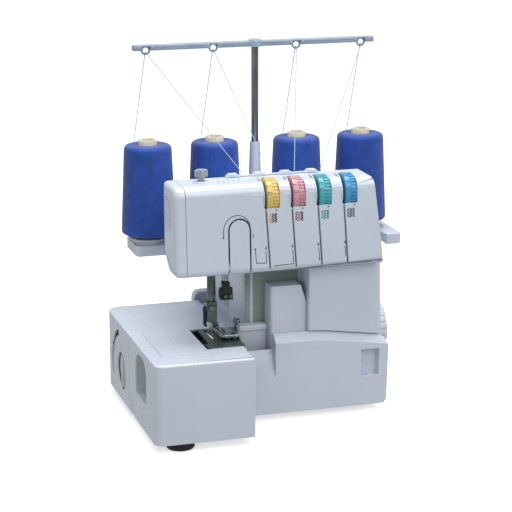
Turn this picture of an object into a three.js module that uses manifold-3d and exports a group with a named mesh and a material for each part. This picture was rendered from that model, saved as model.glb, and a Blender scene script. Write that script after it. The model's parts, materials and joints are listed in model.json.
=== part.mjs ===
// A four-thread overlock sewing machine (serger), as an assembly of separate pieces.
// Millimetres, +Z up. +X is the operator's right and the operator sits on the -Y side.
// The origin is on the table, under the middle of the whole machine.
import * as THREE from 'three';
import { mergeVertices } from 'three/addons/utils/BufferGeometryUtils.js';
import Module from 'manifold-3d';

const wasm = await Module();
wasm.setup();

// ---------------------------------------------------------------- driving dimensions
// Overall envelope
const overallWidth = 341; // feed lever's tip to the spool stand's right end
const overallDepth = 282; // flat bed's front face to the spool stand's rear edge
const footHeight = 8.3; // table to the casings' lower edge

// Plastic shells
const wall = 2.4;
const shellGap = 0.4; // between two shells that meet
const runGap = 0.5; // around a piece that moves

// Flat bed and its removable extension
const bedWidth = 104;
const bedDepth = 222.9;
const bedTop = 92.4;
const bedFrontCorner = 9;
const bedRearCorner = 14;
const extensionArm = 14.5; // width of the extension's strip left of the free arm
const extensionNose = 32; // depth of the extension's strip before the free arm
const extensionReach = 116; // length of the extension from front to back
const windowWidth = 46;
const windowLintel = 8.4; // wall over the window
const windowSill = 38;
const windowBack = 86; // window's rear edge, behind the bed's front face

// Stitch length dial and feed lever, in the bed's left wall
const lengthDialRadius = 20;
const lengthDialBack = 153; // dial's axis, behind the bed's front face
const lengthDialHeight = 41;
const feedLeverRadius = 41.5;
const feedLeverProud = 3;
const feedLeverAngle = 22; // degrees above level, at rest
const feedSlotWidth = 6;

// Column and base, right of the bed
const baseWidth = 161.5; // from the bed's right face to the base's right side
const columnLean = 4; // right side's lean in, from the base to under the head
const columnFront = 67; // front face, behind the bed's front face
const columnRearGap = 0.5; // rear face to the spool stand behind it
const columnWidth = 83; // of the front part that stands under the dials
const throatLeft = 61; // rear part's left wall, left of the front part's left side
const throatBack = 98; // rear column's front wall, behind the bed's front face
const columnTop = 162;
const panelFront = 75; // inner panel's face, behind the bed's front face
const panelHeight = 143;
const panelWidth = 39;

// Front cover
const coverThickness = 13;
const coverOverhang = 5; // right end beyond the base's right side
const coverTop = 93;
const coverDrop = 11; // right end's top, below the left end's
const coverBow = 12; // where the top starts to fall, right of the column's front left edge
const coverBevel = 8; // front edge's drop below the top
const coverProud = 5.5; // front face ahead of the column's front face
const coverSlide = 4; // travel to the right that frees its left edge
const coverClearance = 1.2; // between the cover's top and the column over it
const gripWidth = 20;
const gripBottom = 41;
const gripTop = 70;
const gripDepth = 8;
const chuteWidth = 36;
const chuteSill = 45;
const chuteDrop = 16.4; // chute's upper end, below the bed's top

// Looper bay between the bed and the column, and the ledge beside the needle plate
const baseDrop = 5; // base's top below the bed's top
const bayDepth = 29.4; // bay's sill below the bed's top
const ledgeStart = 112; // left end, right of the bed's left face
const ledgeFrontReach = 88; // front wall, behind the bed's front face
const ledgeRise = 7.6; // above the bed's top

// Head
const headOverhang = 13; // right side at the top, short of the column's right side under it
const headStart = 35.5; // left end, right of the bed's left face
const headSeam = 3; // head's underside above the column's top
const headHeight = 92.5;
const headFront = 56; // front face at the top, behind the bed's front face
const headLean = 6; // front face's lower edge ahead of its upper edge
const headNoseDepth = 46;
const headEdgeRadius = 11;
const headFlare = 10; // right side's lower edge beyond its upper edge
const headRearDepth = 100;
const faceCoverWidth = 12;

// Tension dials
const dialCount = 4;
const dialPitch = 28;
const dialFirst = 139.2; // first dial's middle, right of the bed's left face
const dialRadius = 19;
const dialWidth = 12.6;
const dialProud = 2.6;
const dialGap = 3.2; // thread gap at the left of a dial
const dialWindowDepth = 25.5; // windows' lower edge, below the head's top
const grooveWidth = 1.8;
const grooveDepth = 1.5;
const grooveSlant = 4;

// Take-up tongue in the head's front
const tongueReach = 103; // tongue's middle, right of the bed's left face
const tongueWidth = 21;
const tongueDrop = 35.5; // top, below the head's top
const tongueGap = 1.6;

// Top of the head: pressure screw and thread guides
const pressureReach = 70.5; // screw's axis, right of the bed's left face
const pressureBack = 81; // screw's axis, behind the bed's front face
const pressureKnobRadius = 7;
const pressureKnobHeight = 8;
const guideFirst = 108.5; // first cap's middle, right of the bed's left face
const guidePitch = 28.4;
const guideWidth = 15;
const guideHeight = 3.6;

// Needle bar and needles
const needleReach = 97; // midway between the needles, right of the bed's left face
const needleSpacing = 2.9;
const needleGuideInset = 8.54; // bar's axis in its guide, ahead of the head's rear edge
const needleGuideRise = 30; // guide above the head's underside
const needleBarRise = 57; // bar's top above the head's underside
const needleTipRise = 3.6; // above the bed's top
const needleTipBack = 76; // tip, behind the bed's front face
const needleLength = 37;
const needleBarRadius = 3.2;
const clampSize = 13;

// Presser bar, ankle and foot
const presserReach = 83.5; // bar's axis, right of the bed's left face
const presserBack = 93; // bar's axis, behind the bed's front face
const presserBarRadius = 3;
const lifterReach = 59.5; // lever's middle, right of the bed's left face
const lifterZ = 199;
const footPivotRise = 8.6; // above the bed's top
const footWidth = 20;
const footLength = 38;

// Needle plate
const plateThickness = 2.4;
const plateProud = 0.4;
const plateLeft = 71; // left edge, right of the bed's left face
const plateWidth = 35;
const plateFront = 42.5; // front edge, behind the bed's front face
const plateLength = 69;
const feedToothWidth = 2.4;

// Spool stand, pins and cones
const standThickness = 12;
const standDrop = 4; // stand's top below the column's top
const standDepth = 57.5;
const standStart = 35.5; // left end, right of the bed's left face
const standEarWidth = 19;
const standEarReach = 25;
const standCorner = 12;
const poleReach = 158.8; // pole's axis, left of the stand's right end
const spoolReachInner = 47.8; // pin to pole
const spoolReachOuter = 124;
const spoolInset = 34.7; // pins' line, in front of the stand's rear edge
const pinRadius = 3.2;
const pinHeight = 92;
const pinDiscRadius = 22;
const pinDiscHeight = 9;
const coneBaseRadius = 30.5;
const coneTopRadius = 26.3;
const coneHeight = 100;
const coneShoulder = 4;
const coreRadius = 10.4;
const coreBore = 7;
const coreProud = 5.5;

// Thread tree
const poleInset = 31.3; // pole's axis, in front of the stand's rear edge
const socketHeight = 105.3; // above the stand
const socketRadius = 5.6;
const socketBaseRadius = 9;
const poleRadius = 3.9;
const poleInsert = 18; // length of pole inside the socket when raised
const barRise = 215; // middle of the bar, above the stand
const barLength = 277;
const barDepth = 9;
const barThickness = 6;
const eyeletRadius = 4.2;
const eyeletWire = 1.1;
const threadRadius = 0.45;
const threadClear = 0.4; // between a thread and its eyelet's wire
const threadStart = 14; // where a thread leaves its cone, left of the cone's axis

// Handwheel, shaft, motor and belt
const wheelRadius = 31;
const wheelWidth = 24;
const wheelBack = 149; // shaft's axis, behind the bed's front face
const wheelHeight = 68;
const shaftRadius = 5;
const shaftLength = 124;
const pulleyRadius = 22;
const motorPulleyRadius = 8;
const beltThickness = 2.6;
const beltWidth = 5;
const motorRadius = 19;
const motorLength = 46;
const motorBack = 191; // motor's axis, behind the bed's front face
const motorHeight = 44;

// Small parts
const rubberFootRadius = 15;
const rubberFootInset = 6; // foot's top inside the bottom plate
const footStemRadius = 6;
const bottomPlateThickness = 2.6;
const hingeSweep = 16; // bottom plate's setback, which clears the tipping front cover
const switchBack = 200; // behind the bed's front face
const switchZ = 48.3;
const switchLength = 19;
const switchWidth = 11;
const inletZ = 26.3;
const inletLength = 20;
const inletWidth = 12;

// ---------------------------------------------------------------- derived places
const left = -overallWidth / 2 + feedLeverProud;
const right = overallWidth / 2;
const needleX = left + needleReach;
const presserX = left + presserReach;
const lifterX = left + lifterReach;
const pressureX = left + pressureReach;
const tongueX = left + tongueReach;
const headEnd = left + headStart;
const windowHeight = bedTop - windowLintel - windowSill;
const chuteTop = bedTop - chuteDrop;
const baseTop = bedTop - baseDrop;
const baySill = bedTop - bayDepth;
const footPivotHeight = bedTop + footPivotRise;
const headBottom = columnTop + headSeam;
const headTop = headBottom + headHeight;
const dialWindowBottom = headTop - dialWindowDepth;
const tongueTop = headTop - tongueDrop;
const standTop = columnTop - standDrop;
const standLeft = left + standStart;
const poleX = right - poleReach;
const socketTop = standTop + socketHeight;
const barHeight = standTop + barRise;
const front = -overallDepth / 2;
const back = overallDepth / 2;
const bedRight = left + bedWidth;
const bedBack = front + bedDepth;
const columnRight = bedRight + baseWidth;
const columnTopRight = columnRight - columnLean;
const coverRight = columnRight + coverOverhang;
const freeArmLeft = left + extensionArm;
const freeArmFront = front + extensionNose;
const extensionBack = front + extensionReach;
const columnFrontY = front + columnFront;
const columnBackY = back - standDepth - columnRearGap;
const columnLeft = columnRight - columnWidth;
const throatX = columnLeft - throatLeft;
const throatY = front + throatBack;
const panelY = front + panelFront;
const coverFrontY = columnFrontY - coverProud;
const headFrontY = front + headFront;
const headRight = columnTopRight - headOverhang;
const headNoseY = headFrontY + headNoseDepth;
const headRearY = headNoseY + headRearDepth;
const dialY = headFrontY - dialProud + dialRadius;
const dialZ = headTop + dialProud - dialRadius;
const plateTop = bedTop + plateProud;
const plateX0 = left + plateLeft;
const plateX1 = plateX0 + plateWidth;
const plateY0 = front + plateFront;
const plateY1 = plateY0 + plateLength;
const needleTip = new THREE.Vector3(needleX, front + needleTipBack, bedTop + needleTipRise);
const needleTilt = Math.atan2(
  headNoseY - needleGuideInset - needleTip.y,
  headBottom + needleGuideRise - needleTip.z,
);
const needleUp = new THREE.Vector3(0, Math.sin(needleTilt), Math.cos(needleTilt));
const spoolY = back - spoolInset;
const poleY = back - poleInset;
const spoolXs = [-spoolReachOuter, -spoolReachInner, spoolReachInner, spoolReachOuter].map(
  (reach) => poleX + reach,
);
const shaftY = front + wheelBack;
const motorY = front + motorBack;
const beltX = columnTopRight - 8;
const presserY = front + presserBack;
const pressureY = front + pressureBack;
const lengthDialY = front + lengthDialBack;
const bottomZ = footHeight + 1;

// ---------------------------------------------------------------- shape helpers
function rad(degrees) {
  return (degrees * Math.PI) / 180;
}

// A closed geometry as a solid that can be joined and cut.
function toSolid(geometry) {
  const bare = geometry.index ? geometry.toNonIndexed() : geometry.clone();
  bare.deleteAttribute('normal');
  bare.deleteAttribute('uv');
  const merged = mergeVertices(bare, 1e-4);
  const vertProperties = merged.attributes.position.array;
  const triVerts = new Uint32Array(merged.index.array);
  return new wasm.Manifold(new wasm.Mesh({ numProp: 3, vertProperties, triVerts }));
}

// A finished solid as geometry for a mesh.
function toGeometry(solid) {
  const mesh = solid.getMesh();
  const geometry = new THREE.BufferGeometry();
  geometry.setAttribute('position', new THREE.BufferAttribute(mesh.vertProperties, 3));
  geometry.setIndex(new THREE.BufferAttribute(mesh.triVerts, 1));
  const faceted = geometry.toNonIndexed();
  faceted.computeVertexNormals();
  return faceted;
}

function join(...solids) {
  return solids.reduce((whole, solid) => whole.add(solid));
}

function cut(solid, ...tools) {
  return tools.reduce((rest, tool) => rest.subtract(tool), solid);
}

// A box between two corners.
function box(x0, x1, y0, y1, z0, z1) {
  const geometry = new THREE.BoxGeometry(x1 - x0, y1 - y0, z1 - z0);
  geometry.translate((x0 + x1) / 2, (y0 + y1) / 2, (z0 + z1) / 2);
  return toSolid(geometry);
}

// A closed outline through corner points, each [x, y] or [x, y, corner radius].
function outline(points) {
  const shape = new THREE.Shape();
  points.forEach(([x, y, radius = 0], i) => {
    const corner = new THREE.Vector2(x, y);
    if (radius === 0) {
      if (i === 0) shape.moveTo(x, y);
      else shape.lineTo(x, y);
      return;
    }
    const before = new THREE.Vector2(...points.at(i - 1).slice(0, 2)).sub(corner).normalize();
    const after = new THREE.Vector2(...points[(i + 1) % points.length].slice(0, 2));
    after.sub(corner).normalize();
    const half = Math.acos(before.dot(after)) / 2;
    const middle = before.clone().add(after).normalize();
    const centre = corner.clone().addScaledVector(middle, radius / Math.sin(half));
    const start = corner.clone().addScaledVector(before, radius / Math.tan(half)).sub(centre);
    const end = corner.clone().addScaledVector(after, radius / Math.tan(half)).sub(centre);
    const clockwise = before.cross(after) > 0;
    if (i === 0) shape.moveTo(centre.x + start.x, centre.y + start.y);
    else if (shape.curves.length === 0) shape.lineTo(centre.x + start.x, centre.y + start.y);
    shape.absarc(centre.x, centre.y, radius, start.angle(), end.angle(), clockwise);
  });
  return shape;
}

function extrude(shape, depth, steps) {
  return new THREE.ExtrudeGeometry(shape, { depth, bevelEnabled: false, curveSegments: steps });
}

// An outline in (x, y), raised from z0 to z1.
function prismZ(shape, z0, z1, steps = 2) {
  const geometry = extrude(shape, z1 - z0, steps);
  geometry.translate(0, 0, z0);
  return toSolid(geometry);
}

// An outline in (y, z), drawn out from x0 to x1.
function prismX(shape, x0, x1, steps = 2) {
  const geometry = extrude(shape, x1 - x0, steps);
  geometry.applyMatrix4(new THREE.Matrix4().set(0, 0, 1, x0, 1, 0, 0, 0, 0, 1, 0, 0, 0, 0, 0, 1));
  return toSolid(geometry);
}

// An outline in (x, z), drawn out from y0 to y1. With a rise it climbs towards the rear by that
// much per millimetre, and keeps its own height at the pivot.
function prismY(shape, y0, y1, steps = 2, rise = 0, pivot = 0) {
  const geometry = extrude(shape, y1 - y0, steps);
  const lift = rise * (y1 - pivot);
  geometry.applyMatrix4(
    new THREE.Matrix4().set(1, 0, 0, 0, 0, 0, -1, y1, 0, 1, -rise, lift, 0, 0, 0, 1),
  );
  return toSolid(geometry);
}

// A round bar or taper between two points.
function bar(from, to, radius, endRadius = radius, segments = 16) {
  const start = new THREE.Vector3(...from);
  const way = new THREE.Vector3(...to).sub(start);
  const geometry = new THREE.CylinderGeometry(endRadius, radius, way.length(), segments);
  const turn = new THREE.Quaternion();
  turn.setFromUnitVectors(new THREE.Vector3(0, 1, 0), way.clone().normalize());
  geometry.applyQuaternion(turn);
  geometry.translate(...start.addScaledVector(way, 0.5));
  return toSolid(geometry);
}

// A turned piece about Z, from a closed profile of [radius, z] points.
function turned(profile, segments = 20) {
  const points = profile.map(([r, z]) => new THREE.Vector2(r, z));
  if (points[0].x > 0) points.push(points[0].clone());
  const geometry = new THREE.LatheGeometry(points, segments);
  geometry.rotateX(Math.PI / 2);
  const solid = toSolid(geometry);
  return solid.volume() < 0 ? toSolid(flipped(geometry)) : solid;
}

function flipped(geometry) {
  const turnedOut = geometry.toNonIndexed();
  const position = turnedOut.attributes.position;
  for (let i = 0; i < position.count; i += 3) {
    const a = new THREE.Vector3().fromBufferAttribute(position, i);
    const b = new THREE.Vector3().fromBufferAttribute(position, i + 1);
    position.setXYZ(i, b.x, b.y, b.z);
    position.setXYZ(i + 1, a.x, a.y, a.z);
  }
  return turnedOut;
}

function circle(x, y, radius) {
  return new THREE.Shape().absarc(x, y, radius, 0, 2 * Math.PI);
}

// ---------------------------------------------------------------- materials
function finish(color, roughness, metalness = 0) {
  return new THREE.MeshStandardMaterial({ color, roughness, metalness });
}

const shellWhite = () => finish(0xe4e8ee, 0.35);
const panelWhite = () => finish(0xdde2e9, 0.4);
const knobWhite = () => finish(0xe2e5ea, 0.4);
const darkMetal = () => finish(0x4b5553, 0.35, 0.8);
const blackPlastic = () => finish(0x202524, 0.5);
const steel = () => finish(0xb9bec2, 0.25, 1);
const castAlloy = () => finish(0x9a9da0, 0.55, 0.9);
const rubber = () => finish(0x1c1d1e, 0.8);
const woundThread = () => finish(0x1b3fae, 0.8);
const looseThread = () => finish(0x9fb8d8, 0.7);
const barGrey = () => finish(0x8e9dab, 0.45);
const dialColours = [0xe0b04c, 0xd08c9c, 0x3fa9a8, 0x3f86bd];

const serger = new THREE.Group();

function place(name, solid, material, parent = serger) {
  const mesh = new THREE.Mesh(toGeometry(solid), material);
  mesh.name = name;
  parent.add(mesh);
  return mesh;
}

// ---------------------------------------------------------------- flat bed
const windowY = front + windowBack;
const windowShape = outline([
  [windowY - windowWidth, windowSill, 3],
  [windowY, windowSill, 3],
  [windowY, windowSill + windowHeight, 16],
  [windowY - windowWidth, windowSill + windowHeight, 16],
]);

function feedSlot(halfWidth, x0, x1) {
  const slot = new THREE.Shape();
  const reach = rad(48);
  const middle = rad(feedLeverAngle + 5);
  slot.absarc(0, 0, feedLeverRadius + halfWidth, middle - reach, middle + reach, false);
  slot.absarc(0, 0, feedLeverRadius - halfWidth, middle + reach, middle - reach, true);
  return prismX(slot, x0, x1, 6).translate([0, lengthDialY, lengthDialHeight]);
}

function bedCasing() {
  const outer = (inset, open) =>
    outline([
      [freeArmLeft + shellGap + inset, freeArmFront + shellGap + inset],
      [bedRight + open, freeArmFront + shellGap + inset],
      [bedRight + open, bedBack - inset],
      [left + inset, bedBack - inset, bedRearCorner - inset],
      [left + inset, extensionBack + shellGap + inset],
      [freeArmLeft + shellGap + inset, extensionBack + shellGap + inset],
    ]);
  const shell = cut(
    prismZ(outer(0, 0), footHeight, bedTop),
    prismZ(outer(wall, 10), footHeight - 1, bedTop - wall),
  );
  const plateCut = box(
    left + plateLeft - 6, bedRight + 1, front + plateFront - shellGap,
    front + plateFront + plateLength + shellGap, bedTop - wall - 1, bedTop + 1,
  );
  const dialHole = prismX(circle(lengthDialY, lengthDialHeight, lengthDialRadius + runGap),
    left - 1, left + wall + 1, 10);
  const widthDialHole = prismX(circle(widthDialY, widthDialZ, 5), freeArmLeft - 1,
    freeArmLeft + wall + 2, 6);
  return cut(shell, plateCut, dialHole, widthDialHole,
    feedSlot(feedSlotWidth / 2, left - 1, left + wall + 1));
}

const extensionFootX = left + 29;
const extensionFootY = front + extensionNose / 2;

// The extension wraps round the free arm's front and left and pulls off to the left.
function bedExtension() {
  const outer = (inset) =>
    outline([
      [left + inset, front + inset, bedFrontCorner - inset],
      [bedRight - inset, front + inset, 2],
      [bedRight - inset, freeArmFront - inset],
      [freeArmLeft - inset, freeArmFront - inset],
      [freeArmLeft - inset, extensionBack - inset],
      [left + inset, extensionBack - inset],
    ]);
  const shell = cut(
    prismZ(outer(0), footHeight, bedTop),
    prismZ(outer(wall), footHeight - 1, bedTop - wall),
  );
  const latchCut = box(left - 1, left + wall + 1, latchY - latchLength / 2 - runGap,
    latchY + latchLength / 2 + runGap, footHeight - 1, latchTop + runGap);
  const footPad = box(extensionFootX - 14, extensionFootX + 14, front + wall / 2,
    freeArmFront - wall / 2, bottomZ, bottomZ + bottomPlateThickness);
  const footHole = bar([extensionFootX, extensionFootY, 0], [extensionFootX, extensionFootY, 20],
    footStemRadius + 0.4, footStemRadius + 0.4);
  return cut(shell.add(footPad), prismX(windowShape, left - 1, freeArmLeft + 1), latchCut,
    footHole);
}

const latchLength = 11;
const latchTop = footHeight + 15;
const latchY = extensionBack - 15;
const widthDialY = windowY - windowWidth / 2;
const widthDialZ = windowSill + windowHeight / 2 - 2;
const widthDialRadius = windowHeight / 2 - 6;
const widthDialDepth = 7;

place('bed_casing', bedCasing(), shellWhite());
place('bed_extension', bedExtension(), shellWhite());

const latch = join(
  box(left + 0.2, left + wall + 2.5, latchY - latchLength / 2, latchY + latchLength / 2,
    footHeight + 1, latchTop),
  box(left + wall + runGap, left + wall + 2.5, latchY - latchLength / 2 - 2,
    latchY + latchLength / 2 + 2, footHeight + 2, latchTop + 3),
);
place('extension_latch', latch, knobWhite());

// Stitch width dial on the free arm's end, seen through the extension's window.
const widthDialX = freeArmLeft;
place(
  'stitch_width_dial',
  join(
    bar([widthDialX - 3, widthDialY, widthDialZ], [widthDialX, widthDialY, widthDialZ],
      widthDialRadius, widthDialRadius, 28),
    box(widthDialX - widthDialDepth, widthDialX - 2.5, widthDialY - 3.5, widthDialY + 3.5,
      widthDialZ - widthDialRadius + 1.5, widthDialZ + widthDialRadius - 1.5),
    bar([widthDialX - 1, widthDialY, widthDialZ], [widthDialX + 12, widthDialY, widthDialZ], 4),
  ),
  knobWhite(),
);

// Stitch length dial, flush in its round opening, with a raised grip.
place(
  'stitch_length_dial',
  join(
    bar([left + 3, lengthDialY, lengthDialHeight], [left + 7, lengthDialY, lengthDialHeight],
      lengthDialRadius, lengthDialRadius, 32),
    box(left + 0.4, left + 4, lengthDialY - 3, lengthDialY + 3,
      lengthDialHeight - lengthDialRadius + 2, lengthDialHeight + lengthDialRadius - 2),
    bar([left + 6, lengthDialY, lengthDialHeight], [left + 18, lengthDialY, lengthDialHeight], 4),
  ),
  knobWhite(),
);

// Differential feed lever, on a hub behind the dial's stem.
const leverPoint = (radius) => [
  lengthDialY + radius * Math.cos(rad(feedLeverAngle)),
  lengthDialHeight + radius * Math.sin(rad(feedLeverAngle)),
];
place(
  'feed_lever',
  join(
    cut(
      bar([left + 11, lengthDialY, lengthDialHeight], [left + 15, lengthDialY, lengthDialHeight],
        8.5, 8.5, 20),
      bar([left + 10, lengthDialY, lengthDialHeight], [left + 16, lengthDialY, lengthDialHeight],
        4 + runGap, 4 + runGap, 20),
    ),
    bar([left + 13, ...leverPoint(6.5)], [left + 13, ...leverPoint(feedLeverRadius)], 2),
    bar([left + 14, ...leverPoint(feedLeverRadius)],
      [left - feedLeverProud + 2, ...leverPoint(feedLeverRadius)], 2),
    bar([left - feedLeverProud, ...leverPoint(feedLeverRadius)],
      [left - 0.4, ...leverPoint(feedLeverRadius)], 4.4, 4.8, 14),
  ),
  knobWhite(),
);

// ---------------------------------------------------------------- base and column
function columnOutline(inset) {
  return outline([
    [columnLeft + inset, columnFrontY + inset, 2],
    [columnRight - inset, columnFrontY + inset, 8],
    [columnRight - inset, columnBackY - inset, 12 - inset],
    [throatX + inset, columnBackY - inset, 12 - inset],
    [throatX + inset, throatY + inset, 8 - inset],
    [columnLeft + inset, throatY + inset],
  ]);
}

// Limits the column's right side, which leans in towards the top.
function columnFlare(inset) {
  return prismY(
    outline([
      [bedRight - 1, footHeight - 2],
      [columnRight - inset, footHeight - 2],
      [columnTopRight - inset, columnTop + 2],
      [bedRight - 1, columnTop + 2],
    ]),
    columnFrontY - 1,
    columnBackY + 1,
  );
}

const baseFrontY = columnFrontY + coverThickness - coverProud + shellGap;

// Everything in front of the given depth and under the cover's top line, raised by a gap.
function coverSpace(gap, depth) {
  const bowX = columnLeft + coverBow;
  const farX = columnRight + 30;
  const fall = (coverDrop * (farX - bowX)) / (coverRight - bowX);
  return prismY(
    outline([
      [bedRight - 20, footHeight - 5],
      [farX, footHeight - 5],
      [farX, coverTop - fall + gap],
      [bowX, coverTop + gap, 150],
      [bedRight - 20, coverTop + gap],
    ]),
    coverFrontY - 5,
    depth,
  );
}

function columnCasing() {
  const base = (inset, open) =>
    box(bedRight + shellGap - open, columnRight - inset, baseFrontY + inset, columnBackY - inset,
      footHeight - (open ? 1 : 0), baseTop - inset);
  const upper = (inset, bottom, top) => prismZ(columnOutline(inset), bottom, top);
  const outer = join(base(0, 0), upper(0, baseTop - 10, columnTop)).intersect(columnFlare(0));
  const inner = join(
    base(wall, 1.5),
    upper(wall, baseTop - 12, columnTop - wall),
  ).intersect(columnFlare(wall));
  const shell = cut(
    outer,
    coverSpace(coverClearance, baseFrontY),
    cut(inner, coverSpace(coverClearance + wall, baseFrontY + wall)),
  );
  const pocket = box(throatX + 9, columnLeft - 2, throatY - 2, throatY + wall + 2,
    bedTop + 6, columnTop - 6);
  const shaftHole = bar([columnTopRight - 12, shaftY, wheelHeight],
    [columnRight + 2, shaftY, wheelHeight], shaftRadius + 2, shaftRadius + 2, 20);
  const switchHole = box(columnTopRight - 6, columnRight + 2, switchY - switchLength / 2 - runGap,
    switchY + switchLength / 2 + runGap, switchZ - switchWidth / 2 - runGap,
    switchZ + switchWidth / 2 + runGap);
  const inletHole = box(columnTopRight - 6, columnRight + 2, inletY - inletLength / 2,
    inletY + inletLength / 2, inletZ - inletWidth / 2, inletZ + inletWidth / 2);
  const frontOpening = box(bedRight - 2, columnRight - 8, baseFrontY - 2, baseFrontY + wall + 0.5,
    footHeight - 1, baySill + 14);
  const looperBay = box(bedRight - 2, columnLeft, baseFrontY - 2, throatY, baySill, baseTop + 1);
  const webHole = box(columnLeft + 4, columnLeft + 16, throatY + 8, columnBackY - 8,
    columnTop - 5, columnTop + 1);
  return cut(shell, pocket, shaftHole, switchHole, inletHole, frontOpening, looperBay,
    webHole);
}

const switchY = front + switchBack;
const inletY = switchY;
place('column_casing', columnCasing(), shellWhite());

// Inner panel between the throat and the column, hollow behind.
const panelBottom = baySill + 6.5;
function innerPanel() {
  const x0 = columnLeft - shellGap - panelWidth;
  const x1 = columnLeft - shellGap;
  const section = (inset) =>
    outline([
      [x0 + inset, panelY + inset, 3],
      [x1 - inset, panelY + inset],
      [x1 - inset, throatY - shellGap + (inset ? 1 : 0)],
      [x0 + inset, throatY - shellGap + (inset ? 1 : 0)],
    ]);
  const edge = outline([
    [x0 - 1, panelBottom],
    [x1 + 1, panelBottom],
    [x1 + 1, panelHeight - 22, 30],
    [x1 - 6, panelHeight, 2],
    [x0 - 1, panelHeight],
  ]);
  return cut(
    prismZ(section(0), panelBottom, panelHeight).intersect(
      prismY(edge, panelY - 1, throatY + 1),
    ),
    prismZ(section(wall), panelBottom - 1, panelHeight - wall),
  );
}
place('inner_panel', innerPanel(), panelWhite());

// White ledge beside the needle plate, with its own front wall down behind the cover.
const ledgeLeft = left + ledgeStart;
const ledgeRight = columnLeft - shellGap - panelWidth - shellGap;
const ledgeFront = front + ledgeFrontReach;
const ledgeTop = bedTop + ledgeRise;
function chuteLedge() {
  const section = outline([
    [ledgeFront, baySill + 2.5],
    [ledgeFront + wall, baySill + 2.5],
    [ledgeFront + wall, ledgeTop - 6],
    [throatY - shellGap, ledgeTop - 6],
    [throatY - shellGap, ledgeTop],
    [ledgeFront - 2, ledgeTop, 2.5],
    [ledgeFront - 2, ledgeTop - 6],
    [ledgeFront, ledgeTop - 7],
  ]);
  return prismX(section, ledgeLeft, ledgeRight);
}
place('chute_ledge', chuteLedge(), panelWhite());

// Rear cover over the column's back, with a low hump behind the bed.
const rearCoverDepth = 10;
const rearCoverTop = standTop - standThickness - 0.3;
function rearCover() {
  const face = outline([
    [throatX - 22, footHeight + 2],
    [columnRight - 3, footHeight + 2],
    [columnRight - 4, rearCoverTop, 8],
    [throatX + 2, rearCoverTop, 8],
    [throatX + 2, bedTop + 10],
    [throatX - 22, bedTop + 10, 8],
  ]);
  const inner = outline([
    [throatX - 22 + wall, footHeight + 2 + wall],
    [columnRight - 3 - wall, footHeight + 2 + wall],
    [columnRight - 4 - wall, rearCoverTop - wall, 6],
    [throatX + 2 + wall, rearCoverTop - wall, 6],
    [throatX + 2 + wall, bedTop + 10 - wall],
    [throatX - 22 + wall, bedTop + 10 - wall, 6],
  ]);
  const y0 = columnBackY + shellGap;
  return cut(
    prismY(face, y0, y0 + rearCoverDepth),
    prismY(inner, y0 - 1, y0 + rearCoverDepth - wall),
  );
}
place('rear_cover', rearCover(), shellWhite());

// Bottom plate under the bed and the column, and the feet that clip into it.
const plateInset = wall + shellGap;
const feet = [
  ['front_left', left + 36, front + 56],
  ['front_right', columnRight - 20, baseFrontY + 34],
  ['rear_left', left + 30, bedBack - 22],
  ['rear_right', columnRight - 20, columnBackY - 20],
];
function bottomPlate() {
  const sheet = prismZ(
    outline([
      [freeArmLeft + shellGap + plateInset, freeArmFront + shellGap + plateInset],
      [bedRight - 1, freeArmFront + shellGap + plateInset],
      [bedRight - 1, baseFrontY + hingeSweep],
      [columnRight - plateInset - 1, baseFrontY + hingeSweep],
      [columnRight - plateInset - 1, columnBackY - plateInset],
      [bedRight + 1, columnBackY - plateInset],
      [bedRight + 1, bedBack - plateInset],
      [left + plateInset, bedBack - plateInset, bedRearCorner - plateInset],
      [left + plateInset, extensionBack + shellGap + plateInset],
      [freeArmLeft + shellGap + plateInset, extensionBack + shellGap + plateInset],
    ]),
    bottomZ,
    bottomZ + bottomPlateThickness,
  );
  const footHoles = feet.map(([, x, y]) =>
    bar([x, y, bottomZ - 1], [x, y, bottomZ + bottomPlateThickness + 1], footStemRadius + 0.4,
      footStemRadius + 0.4, 16),
  );
  return cut(sheet, ...footHoles);
}
place('bottom_plate', bottomPlate(), blackPlastic());

const footShape = turned([
  [0, 0],
  [rubberFootRadius - 1.5, 0],
  [rubberFootRadius, 2],
  [rubberFootRadius - 1, footHeight - 0.3],
  [footStemRadius, footHeight - 0.3],
  [footStemRadius, bottomZ + rubberFootInset],
  [0, bottomZ + rubberFootInset],
], 16);
for (const [name, x, y] of feet) place(`foot_${name}`, footShape, rubber()).position.set(x, y, 0);
place('foot_extension', footShape, rubber()).position.set(extensionFootX, extensionFootY, 0);

// ---------------------------------------------------------------- front cover
// The cover's bulk: its bowed top falls to the right and its front edge is bevelled.
function coverBulk(inset, y0, y1) {
  const bowX = columnLeft + coverBow;
  const top = coverTop - inset;
  const face = outline([
    [coverLeft + inset, footHeight + inset],
    [coverRight - inset - 2, footHeight + inset, 6],
    [coverRight - inset, top - coverDrop, 12],
    [bowX, top, 150],
    [coverLeft + inset, top],
  ]);
  const bevelled = outline([
    [coverLeft - 1, footHeight - 30],
    [coverRight + 1, footHeight - 30],
    [coverRight + 1, top - coverDrop],
    [bowX, top, 150],
    [coverLeft - 1, top],
  ]);
  const bevelBack = coverFrontY + coverThickness - wall - 2;
  const rise = coverBevel / (bevelBack - coverFrontY);
  return prismY(face, y0, y1).intersect(prismY(bevelled, y0, y1, 2, rise, bevelBack));
}

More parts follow.
